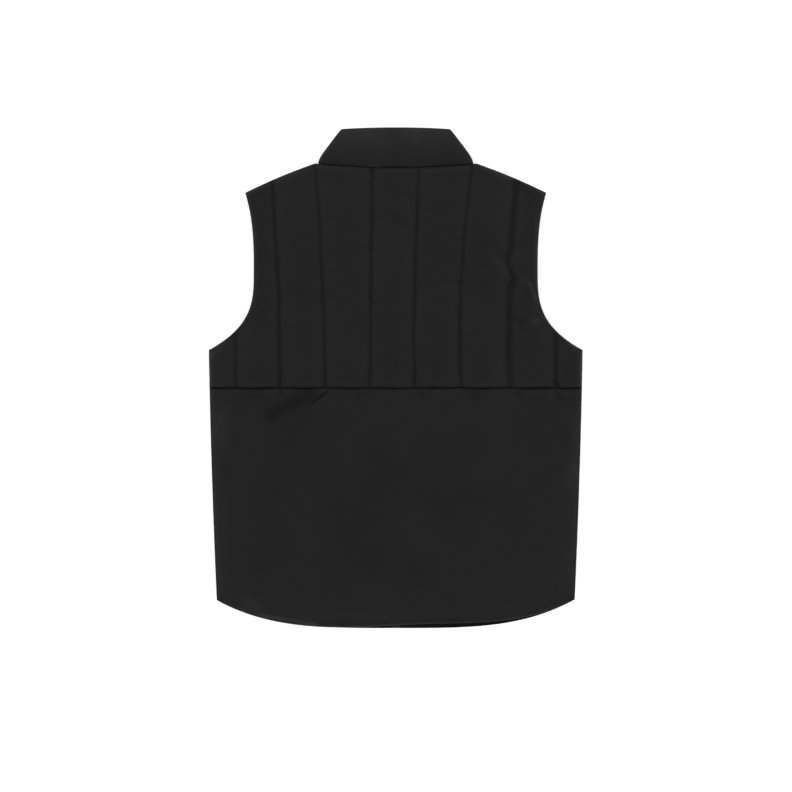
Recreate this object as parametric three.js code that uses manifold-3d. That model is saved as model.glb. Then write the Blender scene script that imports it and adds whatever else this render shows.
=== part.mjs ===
// A padded vest laid flat on its front, back uppermost. Millimetres, +Z up.
// The neck points towards +Y and the wearer's left is at -X. The origin is under the middle of the vest,
// on the surface that it lies on. The two fronts lie on that surface with a zip between them, the quilted
// upper back and the plain lower back lie on the fronts, and the stand collar is a flattened tube, open
// at the zip, that folds round at its two ends.
import * as THREE from "three";
import { mergeVertices } from "three/addons/utils/BufferGeometryUtils.js";
import Module from "manifold-3d";

// Widths of the laid vest, side to side
const WIDTH = {
  chest: 561, // between the feet of the armholes
  hem: 537, // between the corners of the hem
  shoulders: 452, // between the shoulder tips
  crossBack: 426, // where the armholes come closest
  neck: 242, // between the neck points, where collar, back and fronts meet
  collarTop: 181, // between the folded ends of the collar's top edge
};

// Levels of the laid vest, along Y
const LEVEL = {
  collarTop: 375.75,
  neckPoint: 322,
  backNeck: 315.75, // collar seam at the centre back
  frontCollarTop: 312,
  shoulderTip: 278,
  frontNeck: 250, // collar seam at the zip
  underarm: 42,
  yokeSeam: -15,
  hemCorner: -333,
  hem: -375.75,
};

// Curves of the outline
const SIDE_BOW = 1.3; // how far the side seams stand out from a straight line
const SCOOP_HEIGHT = 115; // the curved foot of the armhole
const SCOOP_POWER = 3.1;
const FLARE_START = 170; // where the armhole starts to widen towards the shoulder
const FLARE_POWER = 2.3;
const SHOULDER_BOW = 2;
const FRONT_NECK_POWER = 2.2;
const HEM_POWER = 3.5;
const BEND_POWER = 1.5; // how late the rows of a panel bend towards its top edge and its hem
const BACK_HEM_RISE = { base: 0.8, most: 6.5, x: 75, half: 195 }; // the fronts' hem shows below the back's

// Thickness and layers
const SEAM_GAP = 0.3;
const SEAM_WALL = 3; // padding squeezed flat by a seam
const EDGE_WALL = 4; // turned edge of an armhole or hem
const FRONT_WALL = 9;
const BACK_FLOOR = 9.6; // underside of the back, on the fronts
const QUILT_PUFF = 9; // rise of a full-width channel over its stitch lines
const LOWER_PUFF = 9.5; // rise of the plain panel in its middle
const LOWER_SLOPE = { share: 0.3, reach: 90 }; // it is this much lower beside its seams than that far in
const ROUND = 13; // how far from a seam or an edge the padding rounds over
const FREE_LIFT = 1; // the back's armhole and hem edges stand a little off the fronts
const FREE_BLEND = { below: 6, foot: 24, tip: 12 }; // a side seam turns into an armhole edge over these
const FREE_EDGE = { low: 2.6, high: 6.8 }; // the fronts' armhole and hem edges
const ZIP_EDGE = { low: 4.3, high: 6.9 }; // the edges that the zip is sewn to
const LAYER_MIDDLE = 9.3; // height of the side seams, and of the fold at the collar's ends

// Levels between which the rows of cells are spaced alike
const ARMHOLE_ROWS = [LEVEL.underarm, 102, 225, 258, LEVEL.shoulderTip];
const CREASES_FOOT = -75;

// Quilting: distances from the centre back of the stitch lines, at the yoke seam and at the shoulder
const QUILT_PITCH = 68.25;
const QUILT_LINES = [
  { foot: 33, head: 35 },
  { foot: 102, head: 116 },
  { foot: 172, head: 183 },
  { foot: 241, head: 241 },
];
const LEAN_START = 60; // the lines lean out above this level
const CHANNEL_POWER = 0.6; // fullness of a channel's section
const CHANNEL_CELLS = 6;
const OUTER_STRIP = 8; // cells beside an armhole edge are no wider than this

// Stand collar, at its top edge
const COLLAR = {
  outsideIn: 3, // how far the outside and the inside of the cloth draw together
  insideOut: 1.9,
  bow: 3, // drop of the back's edge from its centre to the corners
  cornerStart: 0.86, // share of the half width where the corners start to round off
  cornerDrop: 9,
  frontDrop: 12, // the front's edge ends this far below the back's, at the fold
};

// Stations along a front's neck seam, as shares of the way from the zip to the fold in the collar.
// The collar and the fronts share them, so that their seams run alongside each other.
const NECK_SHARES = [0, 0.03, 0.09, 0.17, 0.36, 0.57, 0.79, 1];

// Creases pressed into the cloth: each runs from (x0, y0) to (x1, y1)
const CREASES = [
  { x0: -101, y0: -21, x1: -124, y1: -39, width: 4, depth: 2.2 },
  { x0: -122, y0: -34, x1: -188, y1: -62, width: 11, depth: 2.4 },
  { x0: -236, y0: -25, x1: -196, y1: -30, width: 6, depth: 1.2 },
  { x0: 168, y0: 172, x1: 181, y1: 148, width: 6, depth: 2.6 },
  { x0: 181, y0: 148, x1: 208, y1: 118, width: 6, depth: 2.2 },
  { x0: 178, y0: 93, x1: 204, y1: 80, width: 5, depth: 2.4 },
  { x0: 142, y0: 203, x1: 161, y1: 183, width: 6, depth: 1.8 },
  { x0: -161, y0: 127, x1: -137, y1: 121, width: 6, depth: 1.2 },
  { x0: -165, y0: 82, x1: -139, y1: 70, width: 6, depth: 1.4 },
];

// Zip
const ZIP = { gap: SEAM_GAP, edge: 7, tape: 1, middle: 5.6, hemEnd: -375.35, collarEnd: 309 };
const SLIDER = { top: 304, length: 12, width: 9, plate: 1, slot: 3.4, flange: 0.6, clearance: 0.6 };
const SLIDER_ENDS = { tail: 4, tailShare: 0.7, head: 2, headShare: 0.75 }; // its plates narrow towards both
const SLIDER_NECK = { width: 2.4, length: 3.5, fromTop: 0.5 };
const BRIDGE = { width: 2.4, span: 6, rise: 1.8, strap: 0.8 };
const PULL = { width: 7, length: 32, thick: 1.1, eye: 3.9, eyeLength: 6.6, bar: 1.1, corner: 2 };
const BOX = { width: 13.4, length: 9, thick: 3.2 };
const FUSE = 0.01; // what the joined shapes of the slider share

const CLOTH = { color: 0x232424, roughness: 0.62, metalness: 0 };
const TAPE = { color: 0x1b1b1c, roughness: 0.85, metalness: 0 };
const METAL = { color: 0x2a2a2c, roughness: 0.35, metalness: 0.8 };

const mix = (a, b, t) => a + (b - a) * t;
const clamp = (t) => Math.min(1, Math.max(0, t));
const smooth = (t) => clamp(t) ** 2 * (3 - 2 * clamp(t));

// 1 on an edge and 0 from ROUND inwards, along a quarter circle.
const closeness = (distance) => 1 - Math.sqrt(1 - (1 - clamp(distance / ROUND)) ** 2);

// Shares from 0 to 1 in n steps: closer at both ends, closer at the start, or even.
const eased = (n) => Array.from({ length: n + 1 }, (_, k) => (1 - Math.cos((Math.PI * k) / n)) / 2);
const even = (n) => Array.from({ length: n + 1 }, (_, k) => k / n);
const quarter = (n) => even(n).map((t) => 1 - Math.cos((Math.PI * t) / 2));
const quarterEnd = (n) => quarter(n).map((t) => 1 - t).toReversed();

// Values that run through the given stops, with each stretch cut at its own shares.
function stretches(stops, cuts) {
  const values = [stops[0]];
  cuts.forEach((shares, k) => {
    for (const t of shares.slice(1)) values.push(mix(stops[k], stops[k + 1], t));
  });
  return values;
}

function halfWidth(y) {
  if (y <= LEVEL.underarm) {
    const t = (y - LEVEL.hemCorner) / (LEVEL.underarm - LEVEL.hemCorner);
    return mix(WIDTH.hem, WIDTH.chest, t) / 2 + SIDE_BOW * 4 * t * (1 - t);
  }
  const scoop = clamp(1 - (y - LEVEL.underarm) / SCOOP_HEIGHT) ** SCOOP_POWER;
  const flare = clamp((y - FLARE_START) / (LEVEL.shoulderTip - FLARE_START)) ** FLARE_POWER;
  const spare = ((WIDTH.chest - WIDTH.crossBack) * scoop + (WIDTH.shoulders - WIDTH.crossBack) * flare) / 2;
  return WIDTH.crossBack / 2 + spare;
}

// The top of a panel at x: its neck curve, then its shoulder.
function topEdge(x, neckLevel, power) {
  const t = Math.abs(x) / (WIDTH.neck / 2);
  if (t <= 1) return mix(neckLevel, LEVEL.neckPoint, t ** power);
  const s = (Math.abs(x) - WIDTH.neck / 2) / ((WIDTH.shoulders - WIDTH.neck) / 2);
  return mix(LEVEL.neckPoint, LEVEL.shoulderTip, s) + SHOULDER_BOW * Math.sin(Math.PI * clamp(s));
}

const backTop = (x) => topEdge(x, LEVEL.backNeck, 2);
const frontTop = (x) => topEdge(x, LEVEL.frontNeck, FRONT_NECK_POWER);

function frontHem(x) {
  return mix(LEVEL.hem, LEVEL.hemCorner, (Math.abs(x) / (WIDTH.hem / 2)) ** HEM_POWER);
}

function backHem(x) {
  const across = clamp(Math.abs(x - BACK_HEM_RISE.x) / BACK_HEM_RISE.half);
  const corner = 1 - Math.abs(x) / (WIDTH.hem / 2);
  const rise = BACK_HEM_RISE.most * Math.cos((Math.PI / 2) * across) ** 2;
  return frontHem(x) + rise + BACK_HEM_RISE.base * corner;
}

// Depth of the creases at a point of the back.
function creaseDepth(x, y) {
  return CREASES.reduce((sum, c) => {
    const length = Math.hypot(c.x1 - c.x0, c.y1 - c.y0);
    const dir = { x: (c.x1 - c.x0) / length, y: (c.y1 - c.y0) / length };
    const along = (x - c.x0) * dir.x + (y - c.y0) * dir.y;
    const across = (x - c.x0) * dir.y - (y - c.y0) * dir.x;
    const past = Math.max(0, -along, along - length);
    return sum + c.depth * Math.exp(-((across / c.width) ** 2) - (past / c.width) ** 2);
  }, 0);
}

// Share of an armhole, rather than of a seam, in the side edge at a level.
function freeShare(y) {
  const aboveFoot = (y - LEVEL.underarm + FREE_BLEND.below) / FREE_BLEND.foot;
  return smooth(aboveFoot) * smooth((LEVEL.shoulderTip - y) / FREE_BLEND.tip);
}

// How far the row at a level has bent towards the top edge, and towards the hem from a level start.
function climbAt(level) {
  return clamp((level - LEVEL.underarm) / (LEVEL.shoulderTip - LEVEL.underarm)) ** BEND_POWER;
}

function dropAt(level, start) {
  return clamp((start - level) / (start - LEVEL.hemCorner)) ** BEND_POWER;
}

// A closed wall of nu by nv cells. place(i, j, upper) gives the point at column i and row j of a face.
function wall(nu, nv, place) {
  const geometry = new THREE.BoxGeometry(1, 1, 1, nu, nv, 1);
  const p = geometry.attributes.position;
  for (let k = 0; k < p.count; k++) {
    const i = Math.round((p.getX(k) + 0.5) * nu);
    const j = Math.round((p.getY(k) + 0.5) * nv);
    p.setXYZ(k, ...place(i, j, p.getZ(k) > 0));
  }
  geometry.computeVertexNormals();
  return geometry;
}

// Distances of the stitch lines from the centre back at a level.
function quiltLines(level) {
  const lean = clamp((level - LEAN_START) / (LEVEL.shoulderTip - LEAN_START)) ** BEND_POWER;
  return QUILT_LINES.map(({ foot, head }) => mix(foot, head, lean));
}

// Columns of the upper back at a level, with a column on each stitch line.
function quiltColumns(level) {
  const w = halfWidth(level);
  const [first, second, third, last] = quiltLines(level);
  const outer = Math.min(last, w - OUTER_STRIP);
  const channel = eased(CHANNEL_CELLS);
  const halfChannel = channel.slice(CHANNEL_CELLS / 2).map((t) => 2 * t - 1);
  const cuts = [halfChannel, channel, channel, channel, eased(4)];
  const right = stretches([0, first, second, third, outer, w], cuts);
  return [...right.slice(1).toReversed().map((x) => -x), ...right];
}

// Rise of the padding over the stitch lines.
function quiltPuff(x, level) {
  const fromLine = Math.min(...quiltLines(level).map((line) => Math.abs(Math.abs(x) - line)));
  const s = Math.min(0.5, fromLine / QUILT_PITCH);
  return QUILT_PUFF * (4 * s * (1 - s)) ** CHANNEL_POWER;
}

function upperBack() {
  const seam = LEVEL.yokeSeam + SEAM_GAP / 2;
  const rows = stretches(
    [seam, seam + ROUND, ...ARMHOLE_ROWS],
    [quarter(3), even(2), quarter(5), even(4), even(1), eased(4)],
  );
  const columns = rows.map(quiltColumns);
  return wall(columns[0].length - 1, rows.length - 1, (i, j, upper) => {
    const level = rows[j];
    const x = columns[j][i];
    const w = halfWidth(level);
    const y = level + (backTop(x) - SEAM_GAP / 2 - LEVEL.shoulderTip) * climbAt(level);
    const free = freeShare(level) * closeness(w - Math.abs(x));
    const sewn = Math.max(closeness(y - seam), closeness(backTop(x) - y));
    const sideSeam = (1 - freeShare(level)) * closeness(w - Math.abs(x));
    const under = BACK_FLOOR - (BACK_FLOOR - LAYER_MIDDLE) * Math.max(sewn, sideSeam) + FREE_LIFT * free;
    if (!upper) return [x, y, under];
    const puff = (quiltPuff(x, level) - creaseDepth(x, y)) * (1 - Math.max(sewn, free));
    return [x, y, under + mix(SEAM_WALL, EDGE_WALL, free) + Math.max(0, puff)];
  });
}

function lowerBack() {
  const seam = LEVEL.yokeSeam - SEAM_GAP / 2;
  const rows = stretches(
    [LEVEL.hemCorner, LEVEL.hemCorner + ROUND, CREASES_FOOT, seam - ROUND, seam],
    [quarter(3), even(7), even(4), quarterEnd(3)],
  );
  const columns = rows.map((level) => {
    const w = halfWidth(level);
    const right = stretches([0, w - ROUND, w], [even(15), quarterEnd(3)]);
    return [...right.slice(1).toReversed().map((x) => -x), ...right];
  });
  return wall(columns[0].length - 1, rows.length - 1, (i, j, upper) => {
    const level = rows[j];
    const w = halfWidth(level);
    const x = columns[j][i];
    const y = level + (backHem(x) - LEVEL.hemCorner) * dropAt(level, seam);
    const free = closeness(y - backHem(x));
    const sewn = Math.max(closeness(seam - y), closeness(w - Math.abs(x)));
    const under = BACK_FLOOR - (BACK_FLOOR - LAYER_MIDDLE) * sewn + FREE_LIFT * free;
    if (!upper) return [x, y, under];
    const inwards = Math.min(seam - y, w - Math.abs(x), y - backHem(x));
    const slope = LOWER_SLOPE.share * (1 - smooth(inwards / LOWER_SLOPE.reach));
    const puff = (LOWER_PUFF * (1 - slope) - creaseDepth(x, y)) * (1 - Math.max(sewn, free));
    return [x, y, under + mix(SEAM_WALL, EDGE_WALL, free) + Math.max(0, puff)];
  });
}

// Heights of a front layer: flat on the surface, rising to a seam, a free edge or the zip.
function frontHeight(upper, sewn, free, zip) {
  const seam = upper ? FRONT_WALL : mix(0, FRONT_WALL - SEAM_WALL, sewn);
  const edge = mix(seam, upper ? FREE_EDGE.high : FREE_EDGE.low, free);
  return mix(edge, upper ? ZIP_EDGE.high : ZIP_EDGE.low, zip);
}

// One front. side is -1 for the wearer's left and 1 for the right.
function front(side) {
  const rows = stretches(
    [LEVEL.hemCorner, LEVEL.hemCorner + ROUND, ...ARMHOLE_ROWS],
    [quarter(3), even(6), quarter(5), even(3), even(1), eased(4)],
  );
  const tip = WIDTH.shoulders / 2;
  const foldAt = WIDTH.neck / 2 - LAYER_MIDDLE;
  const roundOver = quarter(3).map((t) => tip - t * ROUND).toReversed();
  const atShoulder = [
    ...NECK_SHARES.map((t) => mix(ZIP.edge, foldAt, t)),
    ...even(4).map((t) => mix(WIDTH.neck / 2, tip - ROUND, t)),
    ...roundOver.slice(1),
  ];
  const shares = atShoulder.map((x) => (x - ZIP.edge) / (tip - ZIP.edge));
  const nu = shares.length - 1;
  return wall(nu, rows.length - 1, (i, j, upper) => {
    const level = rows[j];
    const w = halfWidth(level);
    const column = side > 0 ? i : nu - i;
    const x = mix(ZIP.edge, w, shares[column]);
    const top = frontTop(x) - SEAM_GAP / 2;
    const raised = (top - LEVEL.shoulderTip) * climbAt(level);
    const y = level + raised + (frontHem(x) - LEVEL.hemCorner) * dropAt(level, LEVEL.underarm);
    const armhole = freeShare(level) * closeness(w - x);
    const sideSeam = (1 - freeShare(level)) * closeness(w - x);
    const sewn = Math.max(sideSeam, closeness(top - y));
    const free = Math.max(armhole, closeness(y - frontHem(x)));
    return [side * x, y, frontHeight(upper, sewn, free, closeness(x - ZIP.edge))];
  });
}

// Stations round the collar, from the wearer's left end at the zip, round the back, to the right end.
// flat is the share of the way from the zip or centre back to the fold, and turn the angle in the fold.
function collarStations() {
  const fold = even(6).map((t) => t * Math.PI);
  const backShares = even(14).map((t) => 2 * t - 1);
  return [
    ...NECK_SHARES.map((flat) => ({ part: "front", side: -1, flat })),
    ...fold.slice(1, -1).map((turn) => ({ part: "fold", side: -1, turn })),
    ...backShares.map((flat) => ({ part: "back", side: Math.sign(flat), flat: Math.abs(flat) })),
    ...fold.slice(1, -1).toReversed().map((turn) => ({ part: "fold", side: 1, turn })),
    ...NECK_SHARES.toReversed().map((flat) => ({ part: "front", side: 1, flat })),
  ];
}

function collar() {
  const stations = collarStations();
  const height = LEVEL.collarTop - LEVEL.backNeck;
  const rows = stretches([0, ROUND, height - ROUND, height], [quarter(3), even(2), quarterEnd(3)]);
  return wall(stations.length - 1, rows.length - 1, (i, j, upper) => {
    const { part, side, flat, turn } = stations[i];
    const v = rows[j] / height;
    const seam = closeness(rows[j]);
    const top = closeness(height - rows[j]);
    // Half thickness of the flattened collar, outside and inside the cloth.
    const thinned = (LAYER_MIDDLE - SEAM_WALL - SEAM_GAP) * seam + COLLAR.outsideIn * top;
    const outside = LAYER_MIDDLE - thinned;
    const inside = SEAM_GAP + COLLAR.insideOut * top;
    const radius = upper ? outside : inside;
    const w = mix(WIDTH.neck, WIDTH.collarTop, v) / 2;
    const foldAt = w - LAYER_MIDDLE;
    const across = part === "front" ? mix(ZIP.edge, foldAt, flat) : foldAt * flat;
    const bend = turn - Math.PI / 2;
    const x = part === "fold" ? foldAt + radius * Math.cos(bend) : across;
    const t = (part === "fold" ? foldAt + LAYER_MIDDLE * Math.cos(bend) : across) / w;
    const isFront = part === "front" || (part === "fold" && bend < 0);
    const corner = 1 - Math.sqrt(1 - clamp((t - COLLAR.cornerStart) / (1 - COLLAR.cornerStart)) ** 2);
    const backLine = [
      mix(LEVEL.backNeck, LEVEL.neckPoint, t ** 2),
      LEVEL.collarTop - COLLAR.bow * t ** 2 - COLLAR.cornerDrop * corner,
    ];
    const frontLine = [
      mix(LEVEL.frontNeck, LEVEL.neckPoint, t ** FRONT_NECK_POWER),
      mix(LEVEL.frontCollarTop, LEVEL.collarTop - COLLAR.frontDrop, t ** FRONT_NECK_POWER),
    ];
    const y = mix(...(isFront ? frontLine : backLine), v) + (SEAM_GAP / 2) * (1 - v);
    if (part === "back") return [side * x, y, LAYER_MIDDLE + radius];
    if (part === "fold") return [side * x, y, LAYER_MIDDLE + radius * Math.sin(bend)];
    const zip = closeness(x - ZIP.edge);
    return [side * x, y, mix(LAYER_MIDDLE - radius, upper ? ZIP_EDGE.low : ZIP_EDGE.high, zip)];
  });
}

const vectors = (points) => points.map(([x, y]) => new THREE.Vector2(x, y));

// A flat piece of a shape's outline, from z up by its thickness.
function plate(shape, z, thick) {
  const settings = { depth: thick, bevelEnabled: false, curveSegments: 4 };
  return new THREE.ExtrudeGeometry(shape, settings).translate(0, 0, z);
}

function roundedRectangle(width, low, high, corner) {
  const half = width / 2;
  const shape = new THREE.Shape();
  shape.absarc(half - corner, high - corner, corner, 0, Math.PI / 2);
  shape.absarc(-half + corner, high - corner, corner, Math.PI / 2, Math.PI);
  shape.absarc(-half + corner, low + corner, corner, Math.PI, 1.5 * Math.PI);
  shape.absarc(half - corner, low + corner, corner, 1.5 * Math.PI, 2 * Math.PI);
  return shape;
}

// A block between two corners.
function block([x0, y0, z0], [x1, y1, z1]) {
  const geometry = new THREE.BoxGeometry(x1 - x0, y1 - y0, z1 - z0);
  return geometry.translate((x0 + x1) / 2, (y0 + y1) / 2, (z0 + z1) / 2);
}

const wasm = await Module();
wasm.setup();

// Joins overlapping closed geometries into one.
function fuse(geometries) {
  const solids = geometries.map((geometry) => {
    const bare = new THREE.BufferGeometry();
    bare.setAttribute("position", (geometry.index ? geometry.toNonIndexed() : geometry).attributes.position);
    const merged = mergeVertices(bare);
    const vertProperties = merged.attributes.position.array;
    const triVerts = new Uint32Array(merged.index.array);
    return new wasm.Manifold(new wasm.Mesh({ numProp: 3, vertProperties, triVerts }));
  });
  const made = solids.reduce((a, b) => a.add(b)).getMesh();
  const geometry = new THREE.BufferGeometry();
  geometry.setAttribute("position", new THREE.BufferAttribute(made.vertProperties, made.numProp));
  geometry.setIndex(new THREE.BufferAttribute(made.triVerts, 1));
  geometry.computeVertexNormals();
  return geometry;
}

// A tape from the box at the hem to the collar, cut back beside the slider's neck.
function zipTape(side) {
  const inner = ZIP.gap / 2;
  const outer = ZIP.edge - SEAM_GAP;
  const besideNeck = SLIDER_NECK.width / 2 + SLIDER.clearance;
  const notch = SLIDER.top - SLIDER.length / 2;
  const low = ZIP.hemEnd + BOX.length + SEAM_GAP;
  const outline = [
    [inner, low],
    [outer, low],
    [outer, ZIP.collarEnd],
    [besideNeck, ZIP.collarEnd],
    [besideNeck, notch],
    [inner, notch - besideNeck],
  ];
  const points = outline.map(([x, y]) => [side * x, y]);
  return plate(new THREE.Shape(vectors(points)), ZIP.middle - ZIP.tape / 2, ZIP.tape);
}

// Slider: two plates with flanges round the tapes, a neck at its top end, and the bridge below.
const frontPlate = ZIP.middle - SLIDER.slot / 2 - SLIDER.plate;
const backPlate = ZIP.middle + SLIDER.slot / 2;
const bridgeMiddle = SLIDER.top - SLIDER.length / 2;

function zipSlider() {
  const half = SLIDER.width / 2;
  const low = SLIDER.top - SLIDER.length;
  const sides = { low: low + SLIDER_ENDS.tail, high: SLIDER.top - SLIDER_ENDS.head };
  const rightSide = [
    [half * SLIDER_ENDS.tailShare, low],
    [half, sides.low],
    [half, sides.high],
    [half * SLIDER_ENDS.headShare, SLIDER.top],
  ];
  const leftSide = rightSide.map(([x, y]) => [-x, y]).toReversed();
  const outline = new THREE.Shape(vectors([...rightSide, ...leftSide]));

  const slot = { low: frontPlate + SLIDER.plate - FUSE, high: backPlate + FUSE };
  const besideTape = ZIP.tape / 2 + SEAM_GAP;
  const flanges = [-half, half - SLIDER.flange].flatMap((x) => [
    block([x, sides.low, slot.low], [x + SLIDER.flange, sides.high, ZIP.middle - besideTape]),
    block([x, sides.low, ZIP.middle + besideTape], [x + SLIDER.flange, sides.high, slot.high]),
  ]);

  const neckTop = SLIDER.top - SLIDER_NECK.fromTop;
  const halfNeck = SLIDER_NECK.width / 2;
  const neck = block([-halfNeck, neckTop - SLIDER_NECK.length, slot.low], [halfNeck, neckTop, slot.high]);

  const [x0, x1] = [-BRIDGE.width / 2, BRIDGE.width / 2];
  const [y0, y1] = [bridgeMiddle - BRIDGE.span / 2, bridgeMiddle + BRIDGE.span / 2];
  const crown = frontPlate - BRIDGE.rise;
  const bridge = [
    block([x0, y0, crown - BRIDGE.strap], [x1, y1, crown]),
    block([x0, y0, crown - FUSE], [x1, y0 + BRIDGE.strap, frontPlate + FUSE]),
    block([x0, y1 - BRIDGE.strap, crown - FUSE], [x1, y1, frontPlate + FUSE]),
  ];
  const plates = [frontPlate, backPlate].map((z) => plate(outline, z, SLIDER.plate));
  return fuse([...plates, neck, ...flanges, ...bridge]);
}

// Pull tab: a plate with an eye whose end bar lies under the bridge.
function zipPull() {
  const top = bridgeMiddle + PULL.bar / 2;
  const middle = frontPlate - BRIDGE.rise / 2;
  const shape = roundedRectangle(PULL.width, top - PULL.length, top, PULL.corner);
  const eyeTop = top - PULL.bar;
  const half = PULL.eye / 2;
  const eyeLow = eyeTop - PULL.eyeLength;
  const eye = [
    [-half, eyeTop],
    [half, eyeTop],
    [half, eyeLow],
    [-half, eyeLow],
  ];
  shape.holes.push(new THREE.Path(vectors(eye)));
  return plate(shape, middle - PULL.thick / 2, PULL.thick);
}

function zipBox() {
  const half = BOX.width / 2;
  const low = ZIP.hemEnd;
  const z = ZIP.middle - BOX.thick / 2;
  return block([-half, low, z], [half, low + BOX.length, z + BOX.thick]);
}

const vest = new THREE.Group();
function add(name, geometry, look) {
  const mesh = new THREE.Mesh(geometry, new THREE.MeshStandardMaterial(look));
  mesh.name = name;
  vest.add(mesh);
}

add("front_left", front(-1), CLOTH);
add("front_right", front(1), CLOTH);
add("back_upper", upperBack(), CLOTH);
add("back_lower", lowerBack(), CLOTH);
add("collar", collar(), CLOTH);
add("zip_tape_left", zipTape(-1), TAPE);
add("zip_tape_right", zipTape(1), TAPE);
add("zip_box", zipBox(), METAL);
add("zip_slider", zipSlider(), METAL);
add("zip_pull", zipPull(), METAL);

export default vest;
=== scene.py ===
# %% [markdown]
# # A padded vest, laid flat with its back uppermost
#
# The vest is dark nylon over light padding. Its upper back is quilted in upright channels, its lower back
# is one plain panel with a rounded hem, and a stand collar closes it at the neck. This lesson dresses a
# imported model, which already says how large each piece is and where it lies, with cloth that has seams,
# gathers, stitches and a finish. The first cell loads that model and keeps its box.

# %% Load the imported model
from functools import lru_cache
from math import cos, exp, hypot, pi, sin, sqrt

import bmesh
import bpy
from mathutils import Matrix, Vector, noise


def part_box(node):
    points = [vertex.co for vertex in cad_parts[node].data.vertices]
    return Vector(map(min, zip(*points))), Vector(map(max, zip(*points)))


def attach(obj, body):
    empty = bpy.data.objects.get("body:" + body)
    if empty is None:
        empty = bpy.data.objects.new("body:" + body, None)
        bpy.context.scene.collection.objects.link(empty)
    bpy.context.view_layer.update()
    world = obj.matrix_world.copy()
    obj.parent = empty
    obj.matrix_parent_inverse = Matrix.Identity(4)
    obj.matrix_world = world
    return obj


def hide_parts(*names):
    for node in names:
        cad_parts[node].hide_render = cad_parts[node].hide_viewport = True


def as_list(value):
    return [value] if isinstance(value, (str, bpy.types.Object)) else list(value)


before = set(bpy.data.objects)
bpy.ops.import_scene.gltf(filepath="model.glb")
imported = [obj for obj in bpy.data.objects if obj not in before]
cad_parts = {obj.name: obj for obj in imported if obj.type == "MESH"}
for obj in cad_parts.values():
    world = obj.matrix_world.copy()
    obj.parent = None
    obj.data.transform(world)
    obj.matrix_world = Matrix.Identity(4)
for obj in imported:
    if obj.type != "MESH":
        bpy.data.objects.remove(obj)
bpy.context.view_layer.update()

# %% [markdown]
# ## Sizes
#
# All sizes are in metres, with the neck towards +Y and the surface that the vest lies on at z = 0. The
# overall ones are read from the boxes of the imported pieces, so a change to the model changes them here
# too. The rest are the cutter's measures of the garment.

# %% Sizes of the garment
upper_low, upper_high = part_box("back_upper")
lower_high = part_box("back_lower")[1]
front_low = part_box("front_left")[0]
collar_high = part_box("collar")[1]

CHEST = upper_high.x - upper_low.x
HEM_WIDTH = 0.537
SHOULDERS = 0.452
CROSS_BACK = 0.426
NECK = 0.242
COLLAR_TOP_WIDTH = 0.181

COLLAR_TOP = collar_high.y
NECK_POINT = 0.322
BACK_NECK = 0.31575
FRONT_COLLAR_TOP = 0.312
SHOULDER_TIP = 0.278
FRONT_NECK = 0.250
CHEST_LEVEL = 0.150
UNDERARM = 0.042
YOKE = (upper_low.y + lower_high.y) / 2
HEM_CORNER = -0.333
HEM = front_low.y

SEAM_GAP = upper_low.y - lower_high.y
print(f"chest {CHEST:.3f}, yoke seam at {YOKE:.4f}, hem at {HEM:.4f}, seams {1000 * SEAM_GAP:.1f} mm apart")


# %% [markdown]
# ## The outline
#
# A pattern cutter draws a vest with a few fair curves: a nearly straight side, a scooped armhole that
# flares to the shoulder, a neck curve and a rounded hem. Each is a short formula here, the same as in the
# model, so every piece that is built later takes its edge from one place and neighbours meet along their
# seams.

# %% Curves of the outline
def mix(a, b, t):
    return a + (b - a) * t


def clamp(t):
    return min(1.0, max(0.0, t))


def smooth(t):
    return clamp(t) ** 2 * (3 - 2 * clamp(t))


SIDE_BOW = 0.0013
SCOOP = {"height": 0.115, "power": 3.1}
FLARE = {"start": 0.170, "power": 2.3}
SHOULDER_BOW = 0.002
FRONT_NECK_POWER = 2.2
HEM_POWER = 3.5
BACK_HEM_RISE = {"base": 0.0008, "most": 0.0066, "x": 0.075, "left": 0.195, "right": 0.250}
BEND_POWER = 1.5
FREE_BLEND = {"below": 0.006, "foot": 0.024, "tip": 0.012}


@lru_cache(maxsize=None)
def half_width(level):
    if level <= UNDERARM:
        t = (level - HEM_CORNER) / (UNDERARM - HEM_CORNER)
        return mix(HEM_WIDTH, CHEST, t) / 2 + SIDE_BOW * 4 * t * (1 - t)
    scoop = clamp(1 - (level - UNDERARM) / SCOOP["height"]) ** SCOOP["power"]
    flare = clamp((level - FLARE["start"]) / (SHOULDER_TIP - FLARE["start"])) ** FLARE["power"]
    return (CROSS_BACK + (CHEST - CROSS_BACK) * scoop + (SHOULDERS - CROSS_BACK) * flare) / 2


def top_edge(x, neck_level, power):
    t = abs(x) / (NECK / 2)
    if t <= 1:
        return mix(neck_level, NECK_POINT, t ** power)
    s = (abs(x) - NECK / 2) / ((SHOULDERS - NECK) / 2)
    return mix(NECK_POINT, SHOULDER_TIP, s) + SHOULDER_BOW * sin(pi * clamp(s))


def back_top(x):
    return top_edge(x, BACK_NECK, 2)


def front_top(x):
    return top_edge(x, FRONT_NECK, FRONT_NECK_POWER)


def front_hem(x):
    return mix(HEM, HEM_CORNER, (abs(x) / (HEM_WIDTH / 2)) ** HEM_POWER)


def back_hem(x):
    beyond = x - BACK_HEM_RISE["x"]
    off = clamp(abs(beyond) / BACK_HEM_RISE["right" if beyond > 0 else "left"])
    rise = BACK_HEM_RISE["most"] * cos(pi / 2 * off) ** 2
    return front_hem(x) + rise + BACK_HEM_RISE["base"] * (1 - abs(x) / (HEM_WIDTH / 2))


@lru_cache(maxsize=None)
def armhole_share(level):
    """How much of the side edge at a level is a free armhole edge rather than a side seam."""
    foot = smooth((level - UNDERARM + FREE_BLEND["below"]) / FREE_BLEND["foot"])
    return foot * smooth((SHOULDER_TIP - level) / FREE_BLEND["tip"])


def climb_at(level):
    return clamp((level - UNDERARM) / (SHOULDER_TIP - UNDERARM)) ** BEND_POWER


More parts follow.
